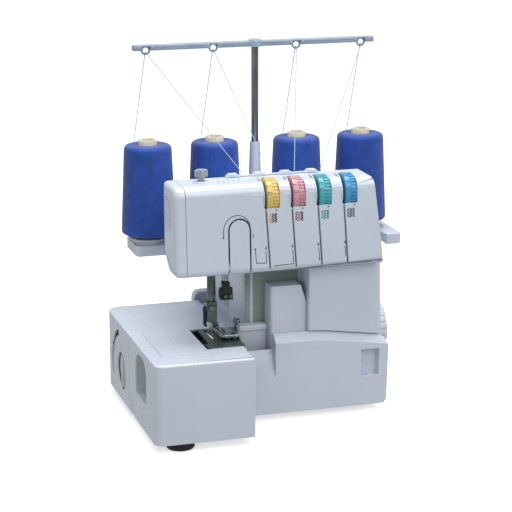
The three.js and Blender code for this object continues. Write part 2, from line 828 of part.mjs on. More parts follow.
function frontCover() {
  const rear = coverFrontY + coverThickness;
  const chuteX = coverLeft + chuteWidth;
  const bulk = coverBulk(0, coverFrontY, rear);
  const hollow = coverBulk(wall, coverFrontY + wall, rear + 1);
  const slope = (offset) =>
    prismX(
      outline([
        [coverFrontY - 1, chuteSill - offset],
        [rear - wall + 1, chuteTop - offset],
        [rear + 2, chuteTop - offset],
        [rear + 2, coverTop + 10],
        [coverFrontY - 1, coverTop + 10],
      ]),
      coverLeft - 1,
      chuteX + offset / 2,
    );
  const chute = coverBulk(0, coverFrontY, rear).intersect(cut(slope(2 * wall), slope(0)))
    .intersect(box(coverLeft, chuteX + wall, coverFrontY, rear, chuteSill - 8, coverTop));
  const gripRight = coverRight - 11;
  const grip = box(gripRight - gripWidth, gripRight, coverFrontY - 1, coverFrontY + gripDepth,
    gripBottom, gripTop);
  const gripTray = box(gripRight - gripWidth - wall, gripRight + wall, coverFrontY + 0.5,
    coverFrontY + gripDepth + wall, gripBottom - wall, gripTop + wall).intersect(bulk);
  const hinges = [chuteX + 8, coverRight - 30].map((x) =>
    join(
      box(x, x + 8, rear - wall - 6, rear, footHeight + 1, hingeZ + 3.4),
      box(x, x + 8, rear - 1, rear + hingeReach, hingeZ - 3.4, hingeZ + 3.4),
    ));
  const pinHole = bar([coverLeft - 1, hingeY, hingeZ], [coverRight + 1, hingeY, hingeZ],
    hingeRadius + 0.3, hingeRadius + 0.3, 14);
  // The cover's lower rear edge swings in past the base's right wall as it tips.
  const swingNotch = box(columnRight - 9.5, columnRight + 0.6, rear - 9, rear + 1, footHeight - 1,
    footHeight + 9);
  const body = join(cut(bulk, hollow, slope(0)), chute, gripTray, ...hinges);
  return cut(body, grip, pinHole, swingNotch);
}

const coverLeft = bedRight + shellGap + coverSlide;
const hingeZ = footHeight + 8;
const hingeRadius = 1.8;
const hingeReach = 4;
const hingeY = coverFrontY + coverThickness + 0.4;
place('front_cover', frontCover(), shellWhite());

// The cover tips open on this rod, and the rod slides sideways in the base.
place(
  'cover_hinge_rod',
  bar([bedRight + 14, hingeY, hingeZ], [columnRight - 13, hingeY, hingeZ], hingeRadius,
    hingeRadius, 14),
  steel(),
);

// ---------------------------------------------------------------- head
const headBottomY = headFrontY - headLean;
const headBackBottom = 38; // rise of the head's underside to the rear of its left end

function headProfile(inset) {
  const low = headBottom + inset;
  return outline([
    [headBottomY + inset, low, 7 - inset],
    [headFrontY + inset, headTop - inset, headEdgeRadius - inset],
    [headNoseY - inset, headTop - inset, 3 - inset / 2],
    [headNoseY - inset, low + headBackBottom - 20, 12],
    [headNoseY - 20, low, 10],
  ]);
}

function headRearProfile(inset) {
  return outline([
    [headNoseY - 12, headBottom + inset],
    [headRearY - inset, headBottom + inset, 4],
    [headRearY - inset, headTop - 48 - inset, 14 - inset],
    [headNoseY - 1, headTop - 4 - inset],
    [headNoseY - 12, headTop - 4 - inset],
  ]);
}

// The head's front view: its right side flares out towards the bottom.
function headFace(inset) {
  return prismY(
    outline([
      [headEnd + inset, headBottom - 20],
      [headRight + headFlare - inset, headBottom - 20],
      [headRight + headFlare - inset, headBottom + 2],
      [headRight - inset, headTop - inset, 5],
      [headEnd + inset, headTop + 20],
    ]),
    headBottomY - 5,
    headRearY + 5,
  );
}

const headShellLeft = headEnd + faceCoverWidth;
const headRearLeft = headShellLeft + 22;

function headSolid(inset, x0) {
  const x1 = headRight + headFlare;
  return join(
    prismX(headProfile(inset), x0, x1),
    prismX(headRearProfile(inset), Math.max(x0, headRearLeft + inset), x1),
  ).intersect(headFace(inset));
}

function tongueShape(grow, bottom) {
  return outline([
    [tongueX - tongueWidth / 2 - grow, bottom],
    [tongueX + tongueWidth / 2 + grow, bottom],
    [tongueX + tongueWidth / 2 + grow, tongueTop + grow, tongueWidth / 2 + grow - 0.1],
    [tongueX - tongueWidth / 2 - grow, tongueTop + grow, tongueWidth / 2 + grow - 0.1],
  ]);
}

const dialXs = Array.from({ length: dialCount }, (_, i) => left + dialFirst + i * dialPitch);

// Thread groove down the face from a dial, leaning with the head's right side.
function threadGroove(dialX) {
  const top = dialX - dialWidth / 2 - dialGap / 2;
  return prismY(
    outline([
      [top - grooveWidth / 2, dialWindowBottom + 2],
      [top - grooveWidth / 2 + grooveSlant, headBottom - 1],
      [top + grooveWidth / 2 + grooveSlant, headBottom - 1],
      [top + grooveWidth / 2, dialWindowBottom + 2],
    ]),
    headBottomY - 1,
    headFrontY + grooveDepth,
  ).intersect(
    prismX(
      outline([
        [headBottomY - 2, headBottom - 2],
        [headBottomY + grooveDepth, headBottom - 2],
        [headFrontY + grooveDepth, headTop],
        [headFrontY - 2, headTop],
      ]),
      dialX - 20,
      dialX + 20,
    ),
  );
}

function headCasing() {
  const shell = cut(headSolid(0, headShellLeft), headSolid(wall, headShellLeft - 10));
  const dialSlots = dialXs.map((x) => {
    const x0 = x - dialWidth / 2 - dialGap;
    const x1 = x + dialWidth / 2 + runGap;
    return join(
      box(x0, x1, headBottomY - 5, dialY + 13, dialWindowBottom, headTop + 5),
      bar([x0, dialY, dialZ], [x1, dialY, dialZ], dialRadius + runGap, dialRadius + runGap, 32),
    );
  });
  const barOpening = box(presserX - 9, needleX + 14, headNoseY - 44, headNoseY - 6,
    headBottom - 2, headBottom + 22);
  const columnOpening = box(columnLeft + 3, columnTopRight - 8, headNoseY - 6, headRearY - 12,
    headBottom - 1, headBottom + wall + 1);
  const tongueSlot = prismY(tongueShape(tongueGap, headBottom - 3), headBottomY - 3,
    headBottomY + 14);
  const screwHole = bar([pressureX, pressureY, headTop - 8], [pressureX, pressureY, headTop + 2],
    4 + runGap, 4 + runGap, 16);
  const lifterSlot = box(lifterX - 5, lifterX + 5, headNoseY - 8, headNoseY + 3,
    lifterZ - 7, lifterZ + 9);
  const guideHoles = guideXs.map((x) =>
    box(x - 4, x + 4, guideY - 1.5, guideY + 1.5, headTop - 5, headTop + 1));
  return cut(shell, ...dialSlots, ...dialXs.map(threadGroove), barOpening, columnOpening,
    tongueSlot, screwHole, lifterSlot, ...guideHoles);
}

const guideY = headNoseY - 5;
const guideXs = dialXs.map((_, i) => left + guideFirst + i * guidePitch);
place('head_casing', headCasing(), shellWhite());

// Cover over the head's left end, with a raised rim round a vented panel.
function faceCover() {
  const x0 = headEnd;
  const x1 = headShellLeft - shellGap;
  const outer = prismX(headProfile(0), x0, x1).intersect(headFace(0));
  const inner = prismX(headProfile(wall), x0 + wall, x1 + 1);
  const panelY0 = headFrontY + 12;
  const panel = prismX(
    outline([
      [panelY0, headBottom + 30, 4],
      [headNoseY - 7, headBottom + 38, 4],
      [headNoseY - 7, headTop - 14, 3],
      [panelY0, headTop - 14, 3],
    ]),
    x0 - 1,
    x0 + 0.8,
  );
  const vents = Array.from({ length: 7 }, (_, i) => {
    const z = headBottom + 44 + i * 5.2;
    return prismX(
      outline([
        [panelY0 + 5, z],
        [headNoseY - 11, z + 6],
        [headNoseY - 11, z + 7.6],
        [panelY0 + 5, z + 1.6],
      ]),
      x0 - 1,
      x0 + wall + 1,
    );
  });
  return cut(outer, inner, panel, ...vents);
}
place('face_cover', faceCover(), shellWhite());

// The tongue between the two needle threads' slots, curved like the head's face.
function takeUpTongue() {
  const band = cut(headSolid(0, headShellLeft), headSolid(wall, headShellLeft - 10));
  const strip = prismY(tongueShape(0, headBottom - 3), headBottomY - 3, headBottomY + 13);
  const brace = box(tongueX - tongueWidth / 2 + 3, tongueX + tongueWidth / 2 - 3,
    headBottomY + wall - 0.5, headBottomY + 12, headBottom + 8, headBottom + 12);
  return join(band.intersect(strip), brace);
}
place('take_up_tongue', takeUpTongue(), shellWhite());

// ---------------------------------------------------------------- tension dials
// Each dial is a hollow drum that turns on a stem through its boss.
function tensionDial() {
  const half = dialWidth / 2;
  const drum = bar([-half, 0, 0], [half, 0, 0], dialRadius, dialRadius, 28);
  const hollow = bar([half - 8, 0, 0], [half + 1, 0, 0], dialRadius - 2.5, dialRadius - 2.5, 16);
  const boss = bar([half - 9, 0, 0], [half, 0, 0], 6, 6, 12);
  const bore = bar([-half - 1, 0, 0], [half + 1, 0, 0], 2.5 + runGap, 2.5 + runGap, 12);
  return cut(join(cut(drum, hollow), boss), bore);
}
const dialSolid = tensionDial();
dialXs.forEach((x, i) => {
  const dial = place(`tension_dial_${i + 1}`, dialSolid, finish(dialColours[i], 0.45));
  dial.position.set(x, dialY, dialZ);
});

// ---------------------------------------------------------------- top of the head
function pressureScrew() {
  const knob = headTop + 6;
  return turned([
    [0, headTop - 20],
    [3, headTop - 20],
    [3, headTop - 3],
    [3.6, headTop - 2],
    [3.6, knob],
    [pressureKnobRadius - 1, knob + 0.5],
    [pressureKnobRadius, knob + 2.5],
    [pressureKnobRadius - 0.6, knob + pressureKnobHeight - 1],
    [pressureKnobRadius - 2.5, knob + pressureKnobHeight],
    [0, knob + pressureKnobHeight],
  ]);
}
place('pressure_screw', pressureScrew(), finish(0x9fb0b2, 0.4)).position.set(
  pressureX,
  pressureY,
  0,
);

// Four thread guide caps on one low rail along the head's rear edge, each with its thread slit.
function guideRail() {
  const rail = box(guideXs[0] - guideWidth / 2, guideXs.at(-1) + guideWidth / 2, guideY - 1.5,
    guideY + 2.5, headTop + 0.3, headTop + 1.5);
  const caps = guideXs.map((x) => {
    const cap = prismY(
      outline([
        [x - guideWidth / 2, headTop + 0.3],
        [x + guideWidth / 2, headTop + 0.3],
        [x + guideWidth / 3.4, headTop + guideHeight, 1],
        [x - guideWidth / 3.4, headTop + guideHeight, 1],
      ]),
      guideY - 4,
      guideY + 4,
      1,
    );
    const slit = box(x - guideWidth, x + guideWidth, guideY + 1.6, guideY + 2.4, headTop + 1.6,
      headTop + guideHeight + 1);
    const peg = box(x - 3.4, x + 3.4, guideY - 1, guideY + 1, headTop - 5, headTop + 1);
    return join(cut(cap, slit), peg);
  });
  return join(rail, ...caps);
}
place('thread_guide_rail', guideRail(), shellWhite());

// ---------------------------------------------------------------- needle bar
function along(distance) {
  return needleTip.clone().addScaledVector(needleUp, distance);
}

const clampLow = needleLength - 1;
const barTop = (headBottom + needleBarRise - needleTip.z) / needleUp.z;
place(
  'needle_bar',
  bar(along(clampLow + clampSize + 0.4), along(barTop), needleBarRadius, needleBarRadius, 16),
  steel(),
);

function needleClamp() {
  const middle = along(clampLow + clampSize / 2);
  const block = new THREE.BoxGeometry(12, 10, clampSize);
  block.rotateX(-needleTilt);
  block.translate(middle.x, middle.y, middle.z);
  const screws = [-3, 3].map((dx) =>
    bar([middle.x + dx, middle.y - 8, middle.z - 2], [middle.x + dx, middle.y, middle.z - 2],
      1.6, 1.6, 10),
  );
  const sockets = needleXs.map((x) => {
    const end = along(needleLength + 4).setX(x);
    return bar(along(clampLow - 2).setX(x), end, 1.4, 1.4, 12);
  });
  return cut(join(toSolid(block), ...screws), ...sockets);
}
const needleXs = [needleX - needleSpacing / 2, needleX + needleSpacing / 2];
place('needle_clamp', needleClamp(), blackPlastic());

needleXs.forEach((x, i) => {
  const shape = join(
    bar(along(0).setX(x), along(6).setX(x), 0.12, 0.42, 8),
    bar(along(6).setX(x), along(22).setX(x), 0.42, 0.42, 8),
    bar(along(22).setX(x), along(24).setX(x), 0.42, 1, 8),
    bar(along(24).setX(x), along(needleLength + 3.4).setX(x), 1, 1, 8),
  );
  place(`needle_${i === 0 ? 'left' : 'right'}`, shape, steel());
});

// ---------------------------------------------------------------- presser bar and foot
place(
  'presser_bar',
  bar([presserX, presserY, footPivotHeight + 22], [presserX, presserY, headTop - 26],
    presserBarRadius),
  steel(),
);

function presserAnkle() {
  const block = box(presserX - 6, presserX + 5, presserY - 6, presserY + 5,
    footPivotHeight + 6, footPivotHeight + 27);
  const bore = bar([presserX, presserY, footPivotHeight + 21.6],
    [presserX, presserY, footPivotHeight + 30], presserBarRadius + 0.3);
  const shin = prismX(
    outline([
      [presserY - 6, footPivotHeight + 6],
      [presserY + 3, footPivotHeight + 6],
      [footPivotY + 3.5, footPivotHeight - 1, 2],
      [footPivotY - 3.5, footPivotHeight - 1, 2],
    ]),
    presserX + 0.5,
    presserX + 5,
  );
  const pinHole = bar([presserX - 10, footPivotY, footPivotHeight + 1],
    [presserX + 20, footPivotY, footPivotHeight + 1], 1.5, 1.5, 12);
  return cut(join(block, shin), bore, pinHole);
}
const footPivotY = presserY - 2;
place('presser_ankle', presserAnkle(), darkMetal());

function presserFoot() {
  const x1 = plateX1 + 1.5;
  const x0 = x1 - footWidth;
  const y0 = footPivotY - footLength * 0.72;
  const y1 = footPivotY + footLength * 0.28;
  const sole = prismX(
    outline([
      [y0, plateTop + 3.6],
      [y0 + 6, plateTop + 0.4],
      [y1, plateTop + 0.4],
      [y1, plateTop + 2.6],
      [y0 + 7, plateTop + 2.6],
      [y0, plateTop + 5.2],
    ]),
    x0,
    x1,
  );
  const needleSlot = box(needleXs[0] - 1.6, needleXs[1] + 1.6, needleTip.y - 5, needleTip.y + 6,
    plateTop - 1, plateTop + 10);
  const toeSlot = box(needleXs[1] + 3.4, needleXs[1] + 4.6, y0 - 1, needleTip.y + 2,
    plateTop - 1, plateTop + 10);
  const ears = [presserX - 1.5, presserX + 5.4].map((x) =>
    box(x, x + 1.6, footPivotY - 4, footPivotY + 4, plateTop + 1.6, footPivotHeight + 4));
  const pin = bar([presserX - 1, footPivotY, footPivotHeight + 1],
    [presserX + 6.5, footPivotY, footPivotHeight + 1], 1.1, 1.1, 12);
  const bridge = box(x0, x1, footPivotY - 4, footPivotY + 4, plateTop + 1, plateTop + 2.6);
  return join(cut(sole, needleSlot, toeSlot), bridge, ...ears, pin);
}
place('presser_foot', presserFoot(), steel());

// Lifter lever behind the head, on a pin across the presser bar's guide.
place(
  'presser_lifter',
  join(
    bar([lifterX - 4, headNoseY - 5, lifterZ], [lifterX + 4, headNoseY - 5, lifterZ], 3, 3, 14),
    prismX(
      outline([
        [headNoseY - 5, lifterZ - 2.5],
        [headNoseY + 12, lifterZ - 3.5],
        [headNoseY + 40, lifterZ - 16, 2],
        [headNoseY + 41, lifterZ - 11, 2],
        [headNoseY + 12, lifterZ + 2.5],
        [headNoseY - 5, lifterZ + 2.5],
      ]),
      lifterX - 3.5,
      lifterX + 3.5,
    ),
  ),
  blackPlastic(),
);

// ---------------------------------------------------------------- needle plate, feed, knives
const feedBars = [plateX0 + 8, plateX1 - 6.5];
function needlePlate() {
  const sheet = prismZ(
    outline([
      [plateX0, plateY0],
      [plateX1, plateY0, 1],
      [plateX1, plateY0 + 20, 1],
      [plateX1 - 4, plateY0 + 24],
      [plateX1 - 4, plateY1, 1],
      [plateX0 + 2, plateY1, 1],
      [plateX0, plateY0 + 16],
      [plateX0 - 4, plateY0 + 15],
      [plateX0 - 4, plateY0 + 4],
    ]),
    plateTop - plateThickness,
    plateTop,
  );
  const needleHole = box(needleXs[0] - 1.4, needleXs[1] + 1.4, needleTip.y - 4, needleTip.y + 3,
    plateTop - 5, plateTop + 1);
  const feedSlots = feedBars.map((x) =>
    box(x - 0.6, x + feedToothWidth + 0.6, needleTip.y - 4, needleTip.y + 30, plateTop - 5,
      plateTop + 1));
  return cut(sheet, needleHole, ...feedSlots);
}
place('needle_plate', needlePlate(), darkMetal());

// Two toothed bars on one carrier under the plate.
function feedDog() {
  const y0 = needleTip.y - 1;
  const y1 = needleTip.y + 27;
  const under = plateTop - plateThickness - 1;
  const carrier = box(feedBars[0], feedBars[1] + feedToothWidth, y1 - 6, y1, under - 5, under);
  const bars = feedBars.map((x) =>
    join(
      box(x, x + feedToothWidth, y0, y1, under - 5, plateTop - 0.9),
      ...Array.from({ length: 9 }, (_, i) =>
        prismX(
          outline([
            [y0 + 1 + i * 3, plateTop - 1],
            [y0 + 3.8 + i * 3, plateTop - 1],
            [y0 + 1.4 + i * 3, plateTop - 0.1],
          ]),
          x,
          x + feedToothWidth,
        ),
      ),
    ),
  );
  return join(carrier, ...bars);
}
place('feed_dog', feedDog(), steel());

const looperPivotX = columnLeft - 30;
const lowerLooperZ = baySill - 18.7;
const upperLooperZ = baySill - 4.7;
const lowerLooperY = needleTip.y + 4;
const upperLooperY = needleTip.y + 16;
// A rocking looper: a hub on a pin along Y, an arm to the left and a pointed hook.
function looper(y, z, reachX, hookTop, thickness) {
  const arm = prismY(
    outline([
      [looperPivotX, z - 4],
      [looperPivotX, z + 4],
      [reachX + 9, z + 5, 4],
      [reachX + 5, hookTop - 4, 4],
      [reachX, hookTop],
      [reachX + 1, hookTop - 3],
      [reachX + 1.5, z, 6],
    ]),
    y - thickness / 2,
    y + thickness / 2,
    4,
  );
  const hub = bar([looperPivotX, y - 4, z], [looperPivotX, y + 4, z], 6.5, 6.5, 18);
  return join(arm, hub);
}
place('lower_looper', looper(lowerLooperY, lowerLooperZ, needleX + 8, plateTop - 13, 2.4), steel());
place('upper_looper', looper(upperLooperY, upperLooperZ, needleX + 9.5, plateTop - 5, 2.4), steel());

// Upper knife: an arm from the throat with a blade beside the plate.
const knifeX = plateX1 + 2.2;
place(
  'upper_knife',
  join(
    prismX(
      outline([
        [throatY - 2, ledgeTop + 1],
        [throatY - 2, ledgeTop + 8, 3],
        [throatY - 18, ledgeTop + 9, 4],
        [needleTip.y + 6, ledgeTop + 2],
        [needleTip.y - 6, plateTop - 6],
        [needleTip.y - 1, plateTop - 7],
        [needleTip.y + 10, ledgeTop - 4],
      ]),
      knifeX,
      knifeX + 1.6,
    ),
    bar([knifeX, throatY - 6, ledgeTop + 4.5], [knifeX + 6, throatY - 6, ledgeTop + 4.5], 2.5),
  ),
  darkMetal(),
);

// ---------------------------------------------------------------- frame and drive
function chassis() {
  const rails = box(left + 30, columnTopRight - 12, shaftY + 12, shaftY + 20, bottomZ + 4,
    bottomZ + 16);
  const web = join(
    box(columnLeft + 6, columnLeft + 14, throatY + 10, columnBackY - 12, bottomZ + 4,
      columnTop + 1),
    box(columnLeft + 6, columnLeft + 14, throatY + 10, headRearY - 14, columnTop,
      headBottom + 30),
  );
  const hingeArms = [columnLeft + 6, bedRight + 16].map((x) =>
    box(x, x + 8, hingeY - 3, shaftY + 14, hingeZ - 1, hingeZ + 6));
  const hingeBed = bar([bedRight, hingeY, hingeZ], [columnRight, hingeY, hingeZ],
    hingeRadius + 0.3, hingeRadius + 0.3, 14);
  const beam = box(headShellLeft + 30, headRight - 6, headNoseY + 6, headNoseY + 18,
    headBottom + 14, headBottom + 44);
  const headBlock = box(presserX - 9, needleX + 16, headNoseY - 18, headNoseY + 8,
    headBottom + 30, headBottom + 42);
  const shaftHole = bar([columnLeft, shaftY, wheelHeight], [columnRight, shaftY, wheelHeight],
    shaftRadius + runGap, shaftRadius + runGap, 20);
  const needleHole = bar(along(60), along(barTop + 40), needleBarRadius + runGap,
    needleBarRadius + runGap);
  const presserHole = bar([presserX, presserY, headBottom], [presserX, presserY, headTop],
    presserBarRadius + runGap, presserBarRadius + runGap);
  const bedRail = box(plateX0, bedRight - 4, plateY1 - 16, shaftY + 20, plateTop - 20,
    plateTop - 12);
  const bedPost = box(plateX0, plateX0 + 10, shaftY + 12, shaftY + 20, bottomZ + 4,
    plateTop - 12);
  return cut(join(rails, web, beam, headBlock, bedRail, bedPost, ...hingeArms), shaftHole,
    needleHole, presserHole, hingeBed);
}
place('chassis', chassis(), castAlloy());

place(
  'main_shaft',
  join(
    bar([columnRight + 8 - shaftLength, shaftY, wheelHeight], [columnRight + 8, shaftY,
      wheelHeight], shaftRadius, shaftRadius, 20),
    bar([beltX - 4, shaftY, wheelHeight], [beltX + 4, shaftY, wheelHeight], pulleyRadius,
      pulleyRadius, 32),
  ),
  steel(),
);

// Handwheel with a rounded rim, a dished face and a finger dimple.
function handwheel() {
  const r = wheelRadius;
  const wheel = turned(
    [
      [0, 3],
      [10, 3],
      [12, 0],
      [r - 6, 0],
      [r - 1, 2.5],
      [r, 7],
      [r - 0.8, wheelWidth - 6],
      [r - 5, wheelWidth],
      [r - 12, wheelWidth],
      [r - 15, wheelWidth - 3],
      [0, wheelWidth - 3],
    ],
    24,
  );
  const dimple = bar([0, r - 8.5, wheelWidth - 1.5], [0, r - 8.5, wheelWidth + 2], 2.6, 4, 16);
  const bore = bar([0, 0, -1], [0, 0, 9], shaftRadius + 0.3, shaftRadius + 0.3, 20);
  return cut(wheel, dimple, bore);
}
const wheel = place('handwheel', handwheel(), panelWhite());
wheel.rotation.y = Math.PI / 2;
wheel.position.set(columnRight + 2.5, shaftY, wheelHeight);

place(
  'motor',
  join(
    bar([beltX - 10 - motorLength, motorY, motorHeight], [beltX - 10, motorY, motorHeight],
      motorRadius, motorRadius, 28),
    box(beltX - 4 - motorLength, beltX - 16, motorY - 12, motorY + 12, bottomZ + 4,
      motorHeight),
  ),
  castAlloy(),
);
place(
  'motor_pulley',
  bar([beltX - 9.5, motorY, motorHeight], [beltX + 4, motorY, motorHeight], motorPulleyRadius - 3,
    motorPulleyRadius - 3).add(
    bar([beltX - 3.6, motorY, motorHeight], [beltX + 3.6, motorY, motorHeight],
      motorPulleyRadius, motorPulleyRadius, 20),
  ),
  steel(),
);

// Belt round the two pulleys: the outline of two circles and their outer tangents.
function driveBelt() {
  const run = new THREE.Vector2(motorY - shaftY, motorHeight - wheelHeight);
  const loop = (grow) => {
    const big = pulleyRadius + grow;
    const small = motorPulleyRadius + grow;
    const lean = Math.acos((big - small) / run.length());
    const way = run.angle();
    const shape = new THREE.Shape();
    shape.absarc(shaftY, wheelHeight, big, way + lean, way - lean, false);
    shape.absarc(motorY, motorHeight, small, way - lean, way + lean, false);
    return shape;
  };
  return cut(
    prismX(loop(0.3 + beltThickness), beltX - beltWidth / 2, beltX + beltWidth / 2, 12),
    prismX(loop(0.3), beltX - beltWidth, beltX + beltWidth, 12),
  );
}
place('drive_belt', driveBelt(), rubber());

place(
  'power_switch',
  box(columnRight - 5, columnRight + 0.6, switchY - switchLength / 2, switchY + switchLength / 2,
    switchZ - switchWidth / 2, switchZ + switchWidth / 2),
  blackPlastic(),
);
place(
  'power_inlet',
  cut(
    box(columnRight - 14, columnRight - 0.4, inletY - inletLength / 2 + 0.4,
      inletY + inletLength / 2 - 0.4, inletZ - inletWidth / 2 + 0.4, inletZ + inletWidth / 2 - 0.4),
    box(columnRight - 12, columnRight + 1, inletY - 7, inletY + 7, inletZ - 3.5, inletZ + 3.5),
  ),
  blackPlastic(),
);

// ---------------------------------------------------------------- spool stand and cones
function spoolStand() {
  const y0 = back - standDepth;
  const earX = right - standEarWidth;
  const sheet = prismZ(
    outline([
      [standLeft, y0, 5],
      [earX, y0],
      [earX, y0 - standEarReach, 2],
      [right, y0 - standEarReach, 7],
      [right, back, standCorner],
      [standLeft, back, standCorner],
    ]),
    standTop - standThickness,
    standTop,
  );
  const socketHole = bar([poleX, poleY, standTop - standThickness - 1],
    [poleX, poleY, standTop + 1], socketBaseRadius - 1.6, socketBaseRadius - 1.6, 20);
  const pins = spoolXs.map((x) => spoolPin().translate([x, spoolY, standTop]));
  return join(cut(sheet, socketHole), ...pins);
}

// A spool pin with the cushion disc that its cone sits on.
function spoolPin() {
  return turned([
    [0, -standThickness / 2],
    [pinRadius, -standThickness / 2],
    [pinRadius, -1],
    [pinDiscRadius - 3, -1],
    [pinDiscRadius - 3, 2.5],
    [pinDiscRadius, 3.5],
    [pinDiscRadius, pinDiscHeight - 3],
    [pinDiscRadius - 2, pinDiscHeight],
    [coreBore - 1, pinDiscHeight],
    [pinRadius, pinDiscHeight + 5],
    [pinRadius, pinHeight - 4],
    [0, pinHeight],
  ], 12);
}
place('spool_stand', spoolStand(), panelWhite());

const coneSolid = turned(
  [
    [coreBore, pinDiscHeight + 0.4],
    [coneBaseRadius - coneShoulder, pinDiscHeight + 0.4],
    [coneBaseRadius - 1, pinDiscHeight + 1.6],
    [coneBaseRadius, pinDiscHeight + 0.4 + coneShoulder],
    [coneTopRadius, pinDiscHeight + coneHeight - coneShoulder],
    [coneTopRadius - 1.2, pinDiscHeight + coneHeight - 1.2],
    [coneTopRadius - coneShoulder, pinDiscHeight + coneHeight],
    [coreRadius, pinDiscHeight + coneHeight],
    [coreRadius, pinDiscHeight + coneHeight + coreProud],
    [coreBore, pinDiscHeight + coneHeight + coreProud],
  ],
  24,
);
spoolXs.forEach((x, i) => {
  place(`thread_cone_${i + 1}`, coneSolid, woundThread()).position.set(x, spoolY, standTop);
});

// ---------------------------------------------------------------- thread tree
place(
  'pole_socket',
  turned([
    [poleRadius + 0.3, standTop - standThickness - 8],
    [socketBaseRadius - 2, standTop - standThickness - 8],
    [socketBaseRadius - 2, standTop + 0.4],
    [socketBaseRadius + 2, standTop + 0.4],
    [socketBaseRadius + 2, standTop + 3],
    [socketBaseRadius, standTop + 5],
    [socketRadius + 1, socketTop - 30],
    [socketRadius, socketTop],
    [poleRadius + 0.3, socketTop],
  ]),
  panelWhite(),
).position.set(poleX, poleY, 0);

place(
  'upper_pole',
  bar([poleX, poleY, socketTop - poleInsert], [poleX, poleY, barHeight - barThickness / 2 - 0.3],
    poleRadius, poleRadius, 20),
  finish(0xd5d9dc, 0.08, 1),
);

function threadBar() {
  const z0 = barHeight - barThickness / 2;
  const z1 = barHeight + barThickness / 2;
  const beam = box(poleX - barLength / 2, poleX + barLength / 2, poleY - barDepth / 2,
    poleY + barDepth / 2, z0, z1);
  const eyes = spoolXs.map((x) => {
    const ring = new THREE.TorusGeometry(eyeletRadius, eyeletWire, 8, 20);
    ring.rotateX(Math.PI / 2);
    ring.translate(x, poleY, z0);
    return toSolid(ring);
  });
  const eyeHoles = spoolXs.map((x) =>
    bar([x, poleY - barDepth, z0], [x, poleY + barDepth, z0], eyeletRadius, eyeletRadius, 20));
  const grooves = spoolXs.slice(1).map((x, i) =>
    box(spoolXs[i] + 9, x - 9, poleY - 1, poleY + 1, z1 - 1.2, z1 + 1));
  const hub = bar([poleX, poleY, z0], [poleX, poleY, z1 + 1.5], 8, 6.5, 24);
  return join(cut(beam, ...grooves, ...eyeHoles), ...eyes, hub);
}
place('thread_bar', threadBar(), barGrey());

// Threads: up from each cone, over the bottom of its eyelet, then taut to the guide on the head.
spoolXs.forEach((x, i) => {
  const section = circle(0, 0, threadRadius);
  const offWire = eyeletWire + threadRadius + threadClear;
  const overZ = barHeight - barThickness / 2 - eyeletRadius + offWire;
  const start = new THREE.Vector3(x - threadStart, spoolY + threadStart / 2,
    standTop + pinDiscHeight + coneHeight + 0.6 + threadRadius);
  const behind = new THREE.Vector3(x, poleY + offWire, overZ);
  const inFront = new THREE.Vector3(x, poleY - offWire, overZ);
  const end = new THREE.Vector3(guideXs[i] + guideWidth / 2 + 3, guideY, headTop + 3);
  const pieces = [[start, behind], [behind, inFront], [inFront, end]].map(([from, to]) =>
    toSolid(
      new THREE.ExtrudeGeometry(section, {
        steps: 1,
        curveSegments: 3,
        bevelEnabled: false,
        extrudePath: new THREE.LineCurve3(from, to),
      }),
    ),
  );
  place(`thread_${i + 1}`, join(...pieces), looseThread());
});

export default serger;
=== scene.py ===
"""Looks of a four-thread serger overlock machine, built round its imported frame.

Lengths are in metres, in the frame's axes: +X towards the handwheel, -Y towards the sewer, +Z up.
"""

import json
import math

import bmesh
import bpy
from mathutils import Matrix, Vector
from mathutils.bvhtree import BVHTree

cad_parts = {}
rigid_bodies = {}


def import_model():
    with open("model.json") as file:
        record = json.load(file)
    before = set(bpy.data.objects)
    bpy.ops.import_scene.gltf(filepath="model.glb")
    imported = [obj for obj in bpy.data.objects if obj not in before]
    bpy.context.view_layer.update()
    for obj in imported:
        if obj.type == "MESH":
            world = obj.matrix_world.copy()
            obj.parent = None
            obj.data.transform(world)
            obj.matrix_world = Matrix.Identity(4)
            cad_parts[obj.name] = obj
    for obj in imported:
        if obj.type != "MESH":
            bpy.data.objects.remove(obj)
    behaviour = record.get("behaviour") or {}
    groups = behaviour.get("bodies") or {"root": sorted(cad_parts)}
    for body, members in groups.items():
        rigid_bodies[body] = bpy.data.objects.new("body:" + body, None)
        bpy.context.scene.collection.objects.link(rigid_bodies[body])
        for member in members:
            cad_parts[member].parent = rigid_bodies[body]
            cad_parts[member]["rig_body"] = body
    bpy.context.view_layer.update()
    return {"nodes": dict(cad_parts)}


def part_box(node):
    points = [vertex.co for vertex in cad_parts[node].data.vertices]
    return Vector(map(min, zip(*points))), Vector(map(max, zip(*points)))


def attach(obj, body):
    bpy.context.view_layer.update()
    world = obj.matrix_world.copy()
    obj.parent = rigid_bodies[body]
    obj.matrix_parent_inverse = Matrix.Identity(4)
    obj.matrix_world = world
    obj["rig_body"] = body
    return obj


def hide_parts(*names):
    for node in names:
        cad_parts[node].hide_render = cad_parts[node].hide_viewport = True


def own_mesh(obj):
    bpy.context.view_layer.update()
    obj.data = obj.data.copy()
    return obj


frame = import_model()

scene = bpy.context.scene
nodes = frame["nodes"]
MM = 0.001


# ---------------------------------------------------------------- materials
def linear(colour):
    """A 0xRRGGBB colour as the linear RGBA that shader sockets take."""
    channels = [(colour >> shift & 255) / 255 for shift in (16, 8, 0)]
    return [c / 12.92 if c <= 0.04045 else ((c + 0.055) / 1.055) ** 2.4 for c in channels] + [1]


